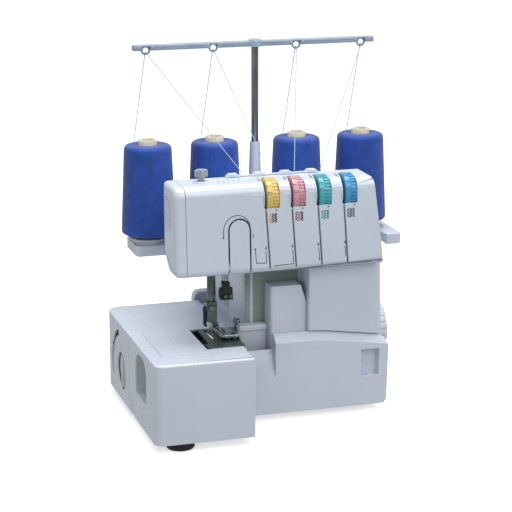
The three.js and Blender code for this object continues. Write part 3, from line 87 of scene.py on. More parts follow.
def surface(name, colour, roughness, metallic=0.0, tint=None, mottle=60, grain=900, relief=0.05,
            spread=0.06, coat=0.0, sheen=0.0, clear=0.0, bands=0.0):
    """A material whose colour drifts between two near tones, with grain in its gloss and relief."""
    mat = bpy.data.materials.new(name)
    mat.use_nodes = True
    tree = mat.node_tree
    shader = tree.nodes["Principled BSDF"]
    shader.inputs["Metallic"].default_value = metallic
    shader.inputs["Coat Weight"].default_value = coat
    shader.inputs["Coat Roughness"].default_value = 0.12
    shader.inputs["Sheen Weight"].default_value = sheen
    shader.inputs["Transmission Weight"].default_value = clear
    place = tree.nodes.new("ShaderNodeTexCoord")

    def noise(scale, detail):
        node = tree.nodes.new("ShaderNodeTexNoise")
        node.inputs["Scale"].default_value = scale
        node.inputs["Detail"].default_value = detail
        tree.links.new(place.outputs["Object"], node.inputs["Vector"])
        return node

    drift = noise(mottle, 3)
    ramp = tree.nodes.new("ShaderNodeValToRGB")
    ramp.color_ramp.elements[0].position = 0.3
    ramp.color_ramp.elements[1].position = 0.7
    base = linear(colour)
    other = linear(tint) if tint is not None else [c * (1 - spread) for c in base[:3]] + [1]
    ramp.color_ramp.elements[0].color = other
    ramp.color_ramp.elements[1].color = base
    tree.links.new(drift.outputs["Fac"], ramp.inputs["Fac"])
    tree.links.new(ramp.outputs["Color"], shader.inputs["Base Color"])

    fine = noise(grain, 4)
    gloss = tree.nodes.new("ShaderNodeMapRange")
    gloss.inputs["To Min"].default_value = max(0.02, roughness - 0.06)
    gloss.inputs["To Max"].default_value = min(1.0, roughness + 0.06)
    tree.links.new(fine.outputs["Fac"], gloss.inputs["Value"])
    tree.links.new(gloss.outputs["Result"], shader.inputs["Roughness"])
    bump = tree.nodes.new("ShaderNodeBump")
    bump.inputs["Strength"].default_value = relief
    bump.inputs["Distance"].default_value = 0.0003
    height = fine.outputs["Fac"]
    if bands:
        wave = tree.nodes.new("ShaderNodeTexWave")
        wave.bands_direction = "Z"
        wave.inputs["Scale"].default_value = bands
        wave.inputs["Distortion"].default_value = 2.0
        tree.links.new(place.outputs["Object"], wave.inputs["Vector"])
        height = wave.outputs["Fac"]
    tree.links.new(height, bump.inputs["Height"])
    tree.links.new(bump.outputs["Normal"], shader.inputs["Normal"])
    return mat


FINISH = {
    "shell_white": surface("shell_plastic", 0xD8E1EE, 0.27, tint=0xD2DBE8, coat=0.25, mottle=14),
    "panel_white": surface("panel_plastic", 0xD8DEEA, 0.36, tint=0xD0D6E3, mottle=18),
    "knob_white": surface("knob_plastic", 0xD8DDDC, 0.34, tint=0xD0D5D3, coat=0.2, mottle=40),
    "dark_metal": surface("blackened_steel", 0x6E7F7B, 0.32, 0.8, tint=0x55625F, mottle=120),
    "black_plastic": surface("black_plastic", 0x1B1D1F, 0.42, tint=0x151617, relief=0.12),
    "steel": surface("polished_steel", 0xB9BDBC, 0.22, 1.0, tint=0x9FA4A3, mottle=220),
    "cast_alloy": surface("cast_alloy", 0x9A9E9F, 0.5, 0.85, tint=0x84888A, relief=0.3, grain=500),
    "rubber": surface("foot_rubber", 0x17181A, 0.7, tint=0x202124, relief=0.25),
    "belt_rubber": surface("belt_rubber", 0x1A1B1C, 0.75, tint=0x242526, relief=0.3),
    "wound_thread": surface("wound_thread", 0x1150B4, 0.62, tint=0x0A3E96, mottle=90, sheen=0.25,
                            relief=0.35, bands=700),
    "loose_thread": surface("loose_thread", 0xAFC4D8, 0.6, tint=0x8FABC8, mottle=900, sheen=0.2),
    "bar_grey": surface("bar_plastic", 0xA3B4C6, 0.36, tint=0x94A5B8, mottle=40),
    "pole_chrome": surface("pole_chrome", 0x868C91, 0.1, 1.0, tint=0x747A80, relief=0.01),
    "screw_grey": surface("screw_glass", 0xBCC9CB, 0.12, tint=0xA6B5B8, clear=0.35, coat=0.5),
    "dial_1": surface("dial_yellow", 0xEFCF7A, 0.3, tint=0xE6C468, coat=0.3, mottle=50),
    "dial_2": surface("dial_pink", 0xDBA3AD, 0.3, tint=0xD096A1, coat=0.3, mottle=50),
    "dial_3": surface("dial_teal", 0x4DB8C6, 0.3, tint=0x42AAB8, coat=0.3, mottle=50),
    "dial_4": surface("dial_blue", 0x46A3D2, 0.3, tint=0x3C96C6, coat=0.3, mottle=50),
}
ink_grey = surface("ink_grey", 0x33383D, 0.5, tint=0x3C4146, mottle=400)
ink_pale = surface("ink_pale", 0x8C929A, 0.5, tint=0x7F858D, mottle=400)
ink_colours = [
    surface("ink_yellow", 0xE8A92E, 0.5, mottle=400),
    surface("ink_pink", 0xD8606E, 0.5, mottle=400),
    surface("ink_teal", 0x2E9C98, 0.5, mottle=400),
    surface("ink_blue", 0x2F74B8, 0.5, mottle=400),
]
groove_shade = surface("groove_shade", 0x4C5048, 0.6, tint=0x3D413A, mottle=200)
# Pale paint for the painted highlight along the head's ridge.
ridge_highlight = surface("ridge_highlight", 0xF6F9FC, 0.4, tint=0xEEF2F6, mottle=200)
pocket_green = surface("pocket_green", 0xA6B5AC, 0.45, tint=0x95A59B, mottle=30)
seam_shade = surface("seam_shade", 0x2B2E31, 0.7, tint=0x222426, mottle=200)
cone_cream = surface("cone_cream", 0xE9E2CF, 0.5, tint=0xDDD3BB, mottle=120)
ring_olive = surface("ring_olive", 0x55573C, 0.6, tint=0x3E402B, mottle=200)
window_grey = surface("window_grey", 0xCDD8D2, 0.5, tint=0xC0CCC5, mottle=60)
screw_steel = surface("screw_steel", 0x8F9497, 0.3, 1.0, tint=0x7A8083, mottle=300)


# ---------------------------------------------------------------- mesh tools
def body_of(node):
    """The rigid body that a CAD node rides on."""
    return nodes[node]["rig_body"]


def merge(bm, part, place=None):
    """Adds another bmesh's faces to bm, and frees the other."""
    if place is not None:
        part.transform(place)
    passing = bpy.data.meshes.new("passing")
    part.to_mesh(passing)
    part.free()
    bm.from_mesh(passing)
    bpy.data.meshes.remove(passing)
    return bm


def crease(bm, angle=38):
    """Smooth faces, with edges sharper than the angle kept sharp."""
    for face in bm.faces:
        face.smooth = True
    limit = math.radians(angle)
    for edge in bm.edges:
        if len(edge.link_faces) == 2 and edge.calc_face_angle(0) > limit:
            edge.smooth = False


def piece(name, bm, mat, body, angle=38, stands_for=()):
    """Makes an object of a bmesh, in a material, riding on a body."""
    bmesh.ops.recalc_face_normals(bm, faces=bm.faces[:])
    if angle:
        crease(bm, angle)
    mesh = bpy.data.meshes.new(name)
    bm.to_mesh(mesh)
    bm.free()
    obj = bpy.data.objects.new(name, mesh)
    scene.collection.objects.link(obj)
    mesh.materials.append(mat)
    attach(obj, body)
    for node in stands_for:
        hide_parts(node)
    return obj


def block(lo, hi, radius=0.0, segments=2):
    """A box between two corners with rounded edges."""
    bm = bmesh.new()
    bmesh.ops.create_cube(bm, size=1)
    for v in bm.verts:
        v.co = Vector([a + (c + 0.5) * (b - a) for a, b, c in zip(lo, hi, v.co)])
    if radius:
        bmesh.ops.bevel(bm, geom=bm.edges[:], offset=radius, segments=segments, profile=0.5,
                        affect="EDGES")
    return bm


def lathe(profile, segments, place=None, shape=None, ring=False):
    """Turns (radius, height) points about Z. shape changes the radius; ring closes the section."""
    bm = bmesh.new()
    rings = []
    for r, h in profile:
        turn = []
        for k in range(segments):
            a = 2 * math.pi * k / segments
            radius = shape(r, h, a) if shape else r
            turn.append(bm.verts.new((radius * math.cos(a), radius * math.sin(a), h)))
        rings.append(turn)
    pairs = list(zip(rings, rings[1:]))
    if ring:
        pairs.append((rings[-1], rings[0]))
    for lower, upper in pairs:
        for k in range(segments):
            n = (k + 1) % segments
            bm.faces.new((lower[k], lower[n], upper[n], upper[k]))
    if not ring:
        bm.faces.new(rings[0][::-1])
        bm.faces.new(rings[-1])
    if place is not None:
        bm.transform(place)
    return bm


def tube(points, radius, sides=10, closed=False, ply=0, turns=0.0, depth=0.0):
    """A tube along points, with ply lobes of a given depth that wind round it in some turns."""
    bm = bmesh.new()
    points = [Vector(p) for p in points]
    count = len(points)
    rings = []
    up = Vector((0.31, 0.17, 0.93)).normalized()
    for i, p in enumerate(points):
        ahead = points[(i + 1) % count] if closed or i + 1 < count else p
        behind = points[i - 1] if closed or i else p
        along = (ahead - behind).normalized()
        side = along.cross(up).normalized()
        up = side.cross(along).normalized()
        twist = 2 * math.pi * turns * i / count
        ring = []
        for k in range(sides):
            a = 2 * math.pi * k / sides
            r = radius * (1 + depth * math.cos(ply * (a - twist))) if ply else radius
            ring.append(bm.verts.new(p + r * (math.cos(a) * side + math.sin(a) * up)))
        rings.append(ring)
    pairs = list(zip(rings, rings[1:]))
    if closed:
        pairs.append((rings[-1], rings[0]))
    for a, b in pairs:
        for k in range(sides):
            n = (k + 1) % sides
            bm.faces.new((a[k], a[n], b[n], b[k]))
    if not closed:
        bm.faces.new(rings[0][::-1])
        bm.faces.new(rings[-1])
    return bm


def axis_place(origin, axis):
    """The matrix that takes a lathe's Z axis to an axis through a point."""
    turn = Vector((0, 0, 1)).rotation_difference(Vector(axis).normalized()).to_matrix().to_4x4()
    return Matrix.Translation(Vector(origin)) @ turn


def cleaned(node):
    """A CAD node's mesh with its flat faces whole."""
    bm = bmesh.new()
    bm.from_mesh(nodes[node].data)
    bmesh.ops.remove_doubles(bm, verts=bm.verts[:], dist=2e-6)
    bmesh.ops.dissolve_limit(bm, angle_limit=math.radians(0.6), verts=bm.verts[:],
                             edges=bm.edges[:])
    return bm


def rounded(node, name, slot, fine=0.6, broad=0.0, pick=None, segments=3, corner=34):
    """Stands for a CAD node: its mesh with moulded edges, broad where pick(edge middle) is true."""
    bm = cleaned(node)
    widest = max(fine, broad)
    weights = bm.edges.layers.float.new("bevel_weight_edge")
    limit = math.radians(corner)
    for face in bm.faces:
        face.smooth = True
    for edge in bm.edges:
        if len(edge.link_faces) != 2 or edge.calc_face_angle(0) <= limit:
            continue
        if not edge.is_convex:
            edge.smooth = False
            continue
        middle = (edge.verts[0].co + edge.verts[1].co) / 2
        size = broad if pick and pick(middle) else fine
        edge[weights] = size / widest
    mesh = bpy.data.meshes.new(name)
    bm.to_mesh(mesh)
    bm.free()
    obj = bpy.data.objects.new(name, mesh)
    scene.collection.objects.link(obj)
    mesh.materials.append(FINISH[slot])
    bevel = obj.modifiers.new("moulded_edges", "BEVEL")
    bevel.limit_method = "WEIGHT"
    bevel.width = widest * MM
    bevel.segments = segments
    bevel.use_clamp_overlap = False
    bevel.loop_slide = True
    normals = obj.modifiers.new("even_shading", "WEIGHTED_NORMAL")
    normals.keep_sharp = True
    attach(obj, body_of(node))
    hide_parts(node)
    return obj


# ---------------------------------------------------------------- printed marks
INK = 0.06 * MM  # how far a print stands off its surface
SUNK = 0.05 * MM  # how far its back lies under the surface
RAY_START = 0.05  # how far outside the part a print is cast from
MISSED = 0.1  # how far on a point that meets nothing is put


def tree_of(node):
    """A CAD node's surface, to cast prints onto."""
    bm = bmesh.new()
    bm.from_mesh(nodes[node].data)
    found = BVHTree.FromBMesh(bm)
    bm.free()
    return found


def onto(trees, origin_of, direction):
    """A map from flat (u, v, lift) to the first surface met along a direction."""
    direction = Vector(direction)

    def place(flat):
        start = origin_of(flat.x, flat.y)
        hits = [tree.ray_cast(start, direction) for tree in trees]
        hits = [h for h in hits if h[0] is not None]
        if not hits:
            return start + direction * MISSED
        spot, normal, _, _ = min(hits, key=lambda h: h[3])
        return spot - direction * flat.z
    return place


def printed(name, bm, place, mat, body, slices=None):
    """Lays a flat print, drawn in u and v, on a surface, as a thin solid."""
    if slices:
        axis, step = slices
        values = [v.co[axis] for v in bm.verts]
        cut_at = min(values) + step
        while cut_at < max(values):
            spot, normal = Vector(), Vector()
            spot[axis] = cut_at
            normal[axis] = 1
            bmesh.ops.bisect_plane(bm, geom=bm.verts[:] + bm.edges[:] + bm.faces[:],
                                   plane_co=spot, plane_no=normal)
            cut_at += step
    for v in bm.verts:
        v.co.z = -SUNK
    raised = bmesh.ops.extrude_face_region(bm, geom=bm.faces[:], use_keep_orig=True)
    for v in [g for g in raised["geom"] if isinstance(g, bmesh.types.BMVert)]:
        v.co.z = INK
    for v in bm.verts:
        v.co = place(v.co)
    return piece(name, bm, mat, body, angle=30)


def ribbon(points, width, bm=None, closed=False):
    """A flat strip along (u, v) points, with mitred corners."""
    bm = bm or bmesh.new()
    points = [Vector((p[0], p[1])) for p in points]
    count = len(points)
    sides = []
    for i, p in enumerate(points):
        before = points[i - 1] if closed or i else None
        after = points[(i + 1) % count] if closed or i + 1 < count else None
        ins = (p - before).normalized() if before is not None else (after - p).normalized()
        out = (after - p).normalized() if after is not None else ins
        along = (ins + out).normalized() if (ins + out).length > 1e-6 else ins
        across = Vector((-along.y, along.x))
        reach = width / 2 / max(0.5, math.sqrt((1 + ins.dot(out)) / 2))
        sides.append([bm.verts.new((*(p + across * reach * s), 0)) for s in (1, -1)])
    pairs = list(zip(sides, sides[1:]))
    if closed:
        pairs.append((sides[-1], sides[0]))
    for a, b in pairs:
        bm.faces.new((a[0], a[1], b[1], b[0]))
    return bm


def arrowhead(bm, tip, direction, size):
    """A solid triangle with its tip at a point."""
    d = Vector(direction).normalized()
    side = Vector((-d.y, d.x))
    tip = Vector(tip)
    corners = [tip, tip - d * size + side * size * 0.5, tip - d * size - side * size * 0.5]
    bm.faces.new([bm.verts.new((*c, 0)) for c in corners])
    return bm


def resampled(points, step):
    """The same line with points no further apart than step."""
    made = [Vector(points[0])]
    for a, b in zip(points, points[1:]):
        a, b = Vector(a), Vector(b)
        parts = max(1, math.ceil((b - a).length / step))
        made += [a.lerp(b, k / parts) for k in range(1, parts + 1)]
    return made


def lettering(text, height):
    """Flat digits, centred, of the given height."""
    curve = bpy.data.curves.new("lettering", "FONT")
    curve.body = text
    curve.size = height / 0.7
    curve.align_x = "CENTER"
    curve.align_y = "CENTER"
    curve.resolution_u = 4
    holder = bpy.data.objects.new("lettering", curve)
    scene.collection.objects.link(holder)
    bpy.context.view_layer.update()
    mesh = bpy.data.meshes.new_from_object(holder.evaluated_get(
        bpy.context.evaluated_depsgraph_get()))
    bm = bmesh.new()
    bm.from_mesh(mesh)
    bpy.data.objects.remove(holder)
    bpy.data.curves.remove(curve)
    bpy.data.meshes.remove(mesh)
    bmesh.ops.remove_doubles(bm, verts=bm.verts[:], dist=1e-6)
    return bm


def swept(rows):
    """A solid bar through rows of four corners."""
    bm = bmesh.new()
    made = [[bm.verts.new(corner) for corner in row] for row in rows]
    for a, b in zip(made, made[1:]):
        for k in range(4):
            n = (k + 1) % 4
            bm.faces.new((a[k], a[n], b[n], b[k]))
    bm.faces.new(made[0][::-1])
    bm.faces.new(made[-1])
    return bm


def moved(bm, u, v, turn=0.0):
    """A flat drawing turned, then shifted to (u, v)."""
    bm.transform(Matrix.Translation((u, v, 0)) @ Matrix.Rotation(turn, 4, "Z"))
    return bm


# ---------------------------------------------------------------- camera and lights
CAMERA_AT = Vector((-0.56571, -1.78716, 0.64057))
CAMERA_FORWARD = Vector((0.28264, 0.92630, -0.24918))
FOCAL_LENGTH = 126.56  # mm, on a sensor 36 mm wide
SENSOR_WIDTH = 36
lens = bpy.data.cameras.new("view")
lens.lens = FOCAL_LENGTH
lens.sensor_width = SENSOR_WIDTH
camera = bpy.data.objects.new("view", lens)
camera.location = CAMERA_AT
camera.rotation_euler = CAMERA_FORWARD.to_track_quat("-Z", "Y").to_euler()
scene.collection.objects.link(camera)
scene.camera = camera
scene.view_settings.view_transform = "Standard"

floor_bm = bmesh.new()
bmesh.ops.create_grid(floor_bm, x_segments=8, y_segments=8, size=14)
floor_mesh = bpy.data.meshes.new("floor")
floor_bm.to_mesh(floor_mesh)
floor_bm.free()
floor = bpy.data.objects.new("floor", floor_mesh)
scene.collection.objects.link(floor)
pale_floor = surface("pale_floor", 0xF4F4F4, 0.42, tint=0xF1F1F1, mottle=0.6, relief=0.0)
pale_floor.node_tree.nodes["Principled BSDF"].inputs["Emission Color"].default_value = (1, 1, 1, 1)
pale_floor.node_tree.nodes["Principled BSDF"].inputs["Emission Strength"].default_value = 0.6
floor_mesh.materials.append(pale_floor)
# The floor looks white, and neither lights the machine from below nor shows in its gloss.
floor.visible_diffuse = False
floor.visible_glossy = False

world = bpy.data.worlds.new("soft_white")
world.use_nodes = True
world.node_tree.nodes["Background"].inputs["Color"].default_value = (0.97, 0.985, 1, 1)
world.node_tree.nodes["Background"].inputs["Strength"].default_value = 0.47
scene.world = world


def area_light(name, at, target, size, power):
    light = bpy.data.lights.new(name, "AREA")
    light.shape = "RECTANGLE"
    light.size, light.size_y = size
    light.energy = power
    obj = bpy.data.objects.new(name, light)
    obj.location = at
    obj.rotation_euler = (Vector(target) - Vector(at)).to_track_quat("-Z", "Y").to_euler()
    scene.collection.objects.link(obj)


area_light("key", at=(0.55, -1.7, 1.5), target=(0, 0, 0.15), size=(1.1, 1.1), power=11)
area_light("top", at=(0.1, 0.1, 2.0), target=(0, 0, 0.1), size=(1.6, 1.6), power=33)
area_light("right_fill", at=(1.9, -0.6, 1.0), target=(0, 0, 0.15), size=(1.0, 1.0), power=2)
area_light("left_fill", at=(-1.9, -0.5, 0.5), target=(0, 0, 0.1), size=(1.0, 1.0), power=2)


# ---------------------------------------------------------------- shells
bed_lo, bed_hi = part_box("bed_casing")
column_lo, column_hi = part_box("column_casing")
head_lo, head_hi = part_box("head_casing")

rounded("bed_casing", "bed_shell", "shell_white", 0.5)
rounded("bed_extension", "extension_shell", "shell_white", 0.5, 3.2,
        lambda p: p.z > bed_hi.z - 0.6 * MM and p.y < bed_lo.y)
rounded("column_casing", "column_shell", "shell_white", 0.5)
rounded("front_cover", "cover_shell", "shell_white", 0.5)
rounded("head_casing", "head_shell", "shell_white", 0.5, 1.6,
        lambda p: p.x > head_hi.x - 0.6 * MM)


VENT_REAR = -43 * MM
VENT_FOOT, VENT_TOP = 190 * MM, 246 * MM


def round_end(p):
    """The left end's outer rim, and not the vented panel inside it."""
    vented = head_lo.y + 9 * MM < p.y < VENT_REAR and VENT_FOOT < p.z < VENT_TOP
    return p.x < face_lo.x + 0.6 * MM and not vented


face_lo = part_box("face_cover")[0]
rounded("face_cover", "face_shell", "shell_white", 0.4, 5.0, round_end)
rounded("take_up_tongue", "tongue_shell", "shell_white", 0.4)
rounded("rear_cover", "rear_shell", "shell_white", 0.6)
rounded("inner_panel", "panel_shell", "panel_white", 0.6)
rounded("chute_ledge", "ledge_shell", "panel_white", 0.6)
rounded("spool_stand", "stand_shell", "panel_white", 0.8)
rounded("thread_guide_rail", "guide_caps", "shell_white", 0.5)
rounded("pole_socket", "socket_shell", "panel_white", 0.3)
rounded("bottom_plate", "underside_plate", "black_plastic", 0.4)
rounded("needle_plate", "stitch_plate", "dark_metal", 0.25)
rounded("chassis", "inner_chassis", "cast_alloy", 0.5)
rounded("motor", "motor_can", "cast_alloy", 0.6)
rounded("drive_belt", "toothed_belt", "belt_rubber", 0.3)
rounded("power_inlet", "inlet_shell", "black_plastic", 0.3)
rounded("extension_latch", "latch_tab", "knob_white", 0.5)
rounded("stitch_width_dial", "width_dial_knob", "knob_white", 0.5)
rounded("stitch_length_dial", "length_dial_knob", "knob_white", 0.5)
rounded("feed_lever", "feed_lever_arm", "knob_white", 0.5)
rounded("cover_hinge_rod", "hinge_rod", "steel", 0.2)
rounded("main_shaft", "drive_shaft", "steel", 0.3)
rounded("motor_pulley", "small_pulley", "steel", 0.2)
rounded("needle_bar", "needle_bar_rod", "steel", 0.25)
rounded("presser_bar", "presser_bar_rod", "dark_metal", 0.3)
rounded("presser_foot", "presser_foot_sole", "steel", 0.3)
rounded("presser_ankle", "presser_foot_ankle", "dark_metal", 0.3)
rounded("needle_clamp", "needle_clamp_block", "black_plastic", 0.4)
rounded("presser_lifter", "lifter_arm", "black_plastic", 0.5)
rounded("lower_looper", "lower_looper_arm", "steel", 0.3)
rounded("upper_looper", "upper_looper_arm", "steel", 0.3)
rounded("upper_knife", "upper_knife_blade", "dark_metal", 0.2)
rounded("feed_dog", "feed_dog_bars", "steel", 0.15)
rounded("power_switch", "switch_rocker", "black_plastic", 0.5)
rounded("upper_pole", "pole_tube", "pole_chrome", 0.3)
for foot in ("front_left", "front_right", "rear_left", "rear_right", "extension"):
    rounded(f"foot_{foot}", f"rubber_{foot}", "rubber", 0.8)


# A dark block in the gap between the column's top and the head's underside: painted shadow along
# the seam under the head.
painted_shadow = block((column_lo.x + 19 * MM, column_lo.y + 11.5 * MM, column_hi.z + 0.05 * MM),
               (head_hi.x - 2 * MM, head_hi.y - 4 * MM, head_lo.z - 0.05 * MM), 0.3 * MM)
piece("head_seam_gasket", painted_shadow, seam_shade, "machine", 38)
# A thin green wall closes the throat, from the column's left part to the inner panel.
THROAT_LO = (-45.4 * MM, -42.6 * MM, 97 * MM)
THROAT_HI = (14 * MM, -41.4 * MM, 161.8 * MM)
pocket = block(THROAT_LO, THROAT_HI, 0.4 * MM)
piece("throat_back_wall", pocket, pocket_green, "machine", 38)

# ---------------------------------------------------------------- extension's window
# Pocket between the extension's two walls, round the stitch width dial.
WINDOW_HALF = 23 * MM
WINDOW_ABOVE = 6 * MM  # from the dial's rim to the window's edge
WINDOW_LIFT = 2 * MM  # window's middle above the dial's
extension_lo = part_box("bed_extension")[0]
width_lo, width_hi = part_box("stitch_width_dial")
width_mid = (width_lo + width_hi) / 2
window_tall = (width_hi.z - width_lo.z) / 2 + WINDOW_ABOVE


def window_ring(x, grow):
    """The window's outline at an x: small corners at the sill and broad ones above."""
    ring = []
    for along, up, corner, first in ((1, 1, 16, 0), (-1, 1, 16, 90), (-1, -1, 3, 180),
                                     (1, -1, 3, 270)):
        y = width_mid.y + along * (WINDOW_HALF - corner * MM)
        z = width_mid.z + WINDOW_LIFT + up * (window_tall - corner * MM)
        for k in range(7):
            a = math.radians(first + 15 * k)
            ring.append((x, y + (corner * MM + grow) * math.cos(a),
                         z + (corner * MM + grow) * math.sin(a)))
    return ring


liner = bmesh.new()
# The liner's ends lie inside the two walls.
near, far = extension_lo.x + 1.6 * MM, width_hi.x - 13.4 * MM
liner_rings = [[liner.verts.new(p) for p in window_ring(x, grow)]
               for x, grow in ((near, 0.4 * MM), (far, 0.4 * MM), (far, 1.8 * MM),
                               (near, 1.8 * MM))]
for a, b in zip(liner_rings, liner_rings[1:] + liner_rings[:1]):
    for k in range(len(a)):
        n = (k + 1) % len(a)
        liner.faces.new((a[k], a[n], b[n], b[k]))
piece("window_liner", liner, window_grey, body_of("bed_extension"), 30)

# ---------------------------------------------------------------- tension dials
NOTCHES = 32
NOTCH_DEPTH = 1.1 * MM
DIAL_STEPS = NOTCHES * 8
DIGIT_HEIGHT = 5.0 * MM
DIGIT_PITCH = math.radians(24)
DIGIT_START = 0.35  # radians up from the dial's front to the digit 0
head_tree = tree_of("head_casing")
tongue_tree = tree_of("take_up_tongue")


def dial_radius(radius, height, angle):
    """The outer half of a dial is notched, the other half smooth."""
    if height < 0 or radius < dial_r * 0.9:
        return radius
    phase = (angle * NOTCHES / (2 * math.pi)) % 1
    return radius - (NOTCH_DEPTH if 0.3 < phase < 0.7 else 0)


for i in range(1, 5):
    lo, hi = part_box(f"tension_dial_{i}")
    middle = (lo + hi) / 2
    dial_r = (hi.z - lo.z) / 2
    half = (hi.x - lo.x) / 2
    profile = [
        (3 * MM, -half),
        (dial_r - 1.3 * MM, -half),
        (dial_r - 0.5 * MM, -half + 0.3 * MM),
        (dial_r, -half + 1.0 * MM),
        (dial_r, -0.35 * MM),
        (dial_r - 0.35 * MM, -0.2 * MM),
        (dial_r - 0.35 * MM, 0.2 * MM),
        (dial_r, 0.5 * MM),
        (dial_r, half - 1.0 * MM),
        (dial_r - 0.5 * MM, half - 0.3 * MM),
        (dial_r - 1.3 * MM, half),
        (3 * MM, half),
    ]
    across = axis_place(middle, (1, 0, 0))
    wheel = lathe(profile, DIAL_STEPS, across, dial_radius)
    piece(f"dial_{i}_wheel", wheel, FINISH[f"dial_{i}"], f"dial_{i}", 34,
          [f"tension_dial_{i}"])
    marks = bmesh.new()
    for k in range(10):
        digit = lettering(str(k), DIGIT_HEIGHT)
        merge(marks, moved(digit, 0, k * DIGIT_PITCH * dial_r, math.pi / 2))

    def round_drum(flat, middle=middle, dial_r=dial_r, half=half):
        a = flat.y / dial_r + DIGIT_START
        r = dial_r + flat.z
        return Vector((middle.x - half / 2 + flat.x, middle.y - r * math.cos(a),
                       middle.z + r * math.sin(a)))

    printed(f"dial_{i}_digits", marks, round_drum, ink_grey, f"dial_{i}", (1, 0.8 * MM))

    # White lip round the dial's left side, and the sill under it.
    gap_left = lo.x - 3.2 * MM
    arc = [math.radians(a) for a in range(-24, 101, 4)]
    inner, outer = dial_r - 1.8 * MM, dial_r - 0.1 * MM
    rows = []
    for a in arc:
        spoke = Vector((0, -math.cos(a), math.sin(a)))
        here = Vector((gap_left, middle.y, middle.z))
        rows.append([here + spoke * r + Vector((dx, 0, 0))
                     for r, dx in ((inner, -0.9 * MM), (outer, -0.9 * MM),
                                   (outer, 0.1 * MM), (inner, 0.1 * MM))])
    lip = swept(rows)
    bmesh.ops.bevel(lip, geom=[e for e in lip.edges if e.calc_face_angle(0) > 0.7],
                    offset=0.35 * MM, segments=2, profile=0.5, affect="EDGES")
    piece(f"dial_{i}_lip", lip, FINISH["shell_white"], "machine", 38)


# ---------------------------------------------------------------- cones of thread
WIND_RIDGE = 0.22 * MM
WIND_TURNS = 9
WIND_WAVES = 46  # crossing layers from the foot to the shoulder
WIND_FADE = 12  # how fast the ridges fade near the ends


def wound(radius, height, angle):
    """Thread wound in crossing layers, with the ridges fading out at the ends and the core."""
    if radius < 0.4 * cone_r:
        return radius
    rise = (height - wind_lo) / (wind_hi - wind_lo)
    fade = min(1.0, max(0.0, min(rise, 1 - rise) * WIND_FADE))
    up = math.sin(2 * math.pi * WIND_WAVES * rise + WIND_TURNS * angle)
    down = math.sin(2 * math.pi * WIND_WAVES * rise - WIND_TURNS * angle)
    return radius + WIND_RIDGE * fade * (max(up, down) - 0.6)


for i in range(1, 5):
    lo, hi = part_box(f"thread_cone_{i}")
    centre = Vector(((lo.x + hi.x) / 2, (lo.y + hi.y) / 2, 0))
    cone_r = (hi.x - lo.x) / 2
    proud = 5.5 * MM
    wind_lo, wind_hi = lo.z + 0.4 * MM, hi.z - proud
    top_r = cone_r - 4.2 * MM
    shoulder = 5 * MM
    profile = [(7.2 * MM, lo.z), (cone_r - 5 * MM, lo.z)]
    profile += [(cone_r - 4 * MM + 3.7 * MM * math.sin(a), lo.z + 3.7 * MM * (1 - math.cos(a)))
                for a in [math.radians(d) for d in range(15, 91, 15)]]
    wall = 150
    z0, z1 = lo.z + 3.8 * MM, wind_hi - shoulder
    profile += [(cone_r - 0.3 * MM + (top_r - cone_r + 0.3 * MM) * k / wall,
                 z0 + (z1 - z0) * k / wall) for k in range(1, wall)]
    profile += [(top_r - shoulder + shoulder * math.cos(a), z1 + shoulder * math.sin(a))
                for a in [math.radians(d) for d in range(0, 91, 15)]]
    profile += [(11.4 * MM, wind_hi + 0.2 * MM), (10.6 * MM, wind_hi - 0.6 * MM),
                (7.2 * MM, wind_hi - 0.6 * MM)]
    body = lathe(profile, 120, Matrix.Translation(centre), wound, ring=True)
    piece(f"cone_{i}_thread", body, FINISH["wound_thread"], f"cone_{i}", 60,
          [f"thread_cone_{i}"])
    core = lathe([(7.05 * MM, wind_hi - 4 * MM), (10.3 * MM, wind_hi - 4 * MM),
                  (10.3 * MM, hi.z - 0.9 * MM), (9.7 * MM, hi.z), (7.9 * MM, hi.z),
                  (7.05 * MM, hi.z - 1.6 * MM)], 64, Matrix.Translation(centre), ring=True)
    piece(f"cone_{i}_core", core, cone_cream, f"cone_{i}", 38)
    foot_z = lo.z - 0.4 * MM
    rim = lathe([(15 * MM, foot_z - 3.4 * MM), (21.7 * MM, foot_z - 3.4 * MM),
                 (22.3 * MM, foot_z - 2.6 * MM), (22.3 * MM, foot_z - 1.2 * MM),
                 (21.5 * MM, foot_z - 0.3 * MM), (15 * MM, foot_z - 0.3 * MM)], 64,
                Matrix.Translation(centre), ring=True)
    piece(f"cone_{i}_cushion", rim, ring_olive, "machine", 38)

# ---------------------------------------------------------------- thread bar and threads
bar_lo, bar_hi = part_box("thread_bar")
pole_lo, pole_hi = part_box("upper_pole")
pole_at = (pole_lo + pole_hi) / 2
bar_top = bar_hi.z - 1.5 * MM
bar_bottom = bar_top - 6 * MM
bar_front, bar_rear = pole_at.y - 4.5 * MM, pole_at.y + 4.5 * MM
cone_xs = [sum(c.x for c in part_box(f"thread_cone_{i}")) / 2 for i in range(1, 5)]
EYE_R, EYE_WIRE = 4.2 * MM, 1.1 * MM
bar = bmesh.new()
stops = [bar_lo.x, *[x + s * 4.0 * MM for x in cone_xs for s in (-1, 1)], bar_hi.x]
for a, b in zip(stops[::2], stops[1::2]):
    merge(bar, block((a, bar_front, bar_bottom), (b, bar_rear, bar_top), 0.9 * MM, 3))
    ends = (a + 6 * MM, b - 6 * MM)
    for rib in (-1, 1):
        mid = (bar_bottom + bar_top) / 2 + rib * 1.2 * MM
        if ends[1] - ends[0] > 10 * MM:
            for face in (bar_front, bar_rear):
                merge(bar, block((ends[0], face - 0.45 * MM, mid - 0.4 * MM),
                                 (ends[1], face + 0.45 * MM, mid + 0.4 * MM), 0.3 * MM))
for x in cone_xs:
    merge(bar, block((x - 5 * MM, bar_front, bar_bottom + 4.3 * MM),
                     (x + 5 * MM, bar_rear, bar_top), 0.6 * MM))
    circle = [Vector((x + EYE_R * math.cos(a), pole_at.y, bar_bottom + EYE_R * math.sin(a)))
              for a in [2 * math.pi * k / 40 for k in range(40)]]
    merge(bar, tube(circle, EYE_WIRE, 14, closed=True))
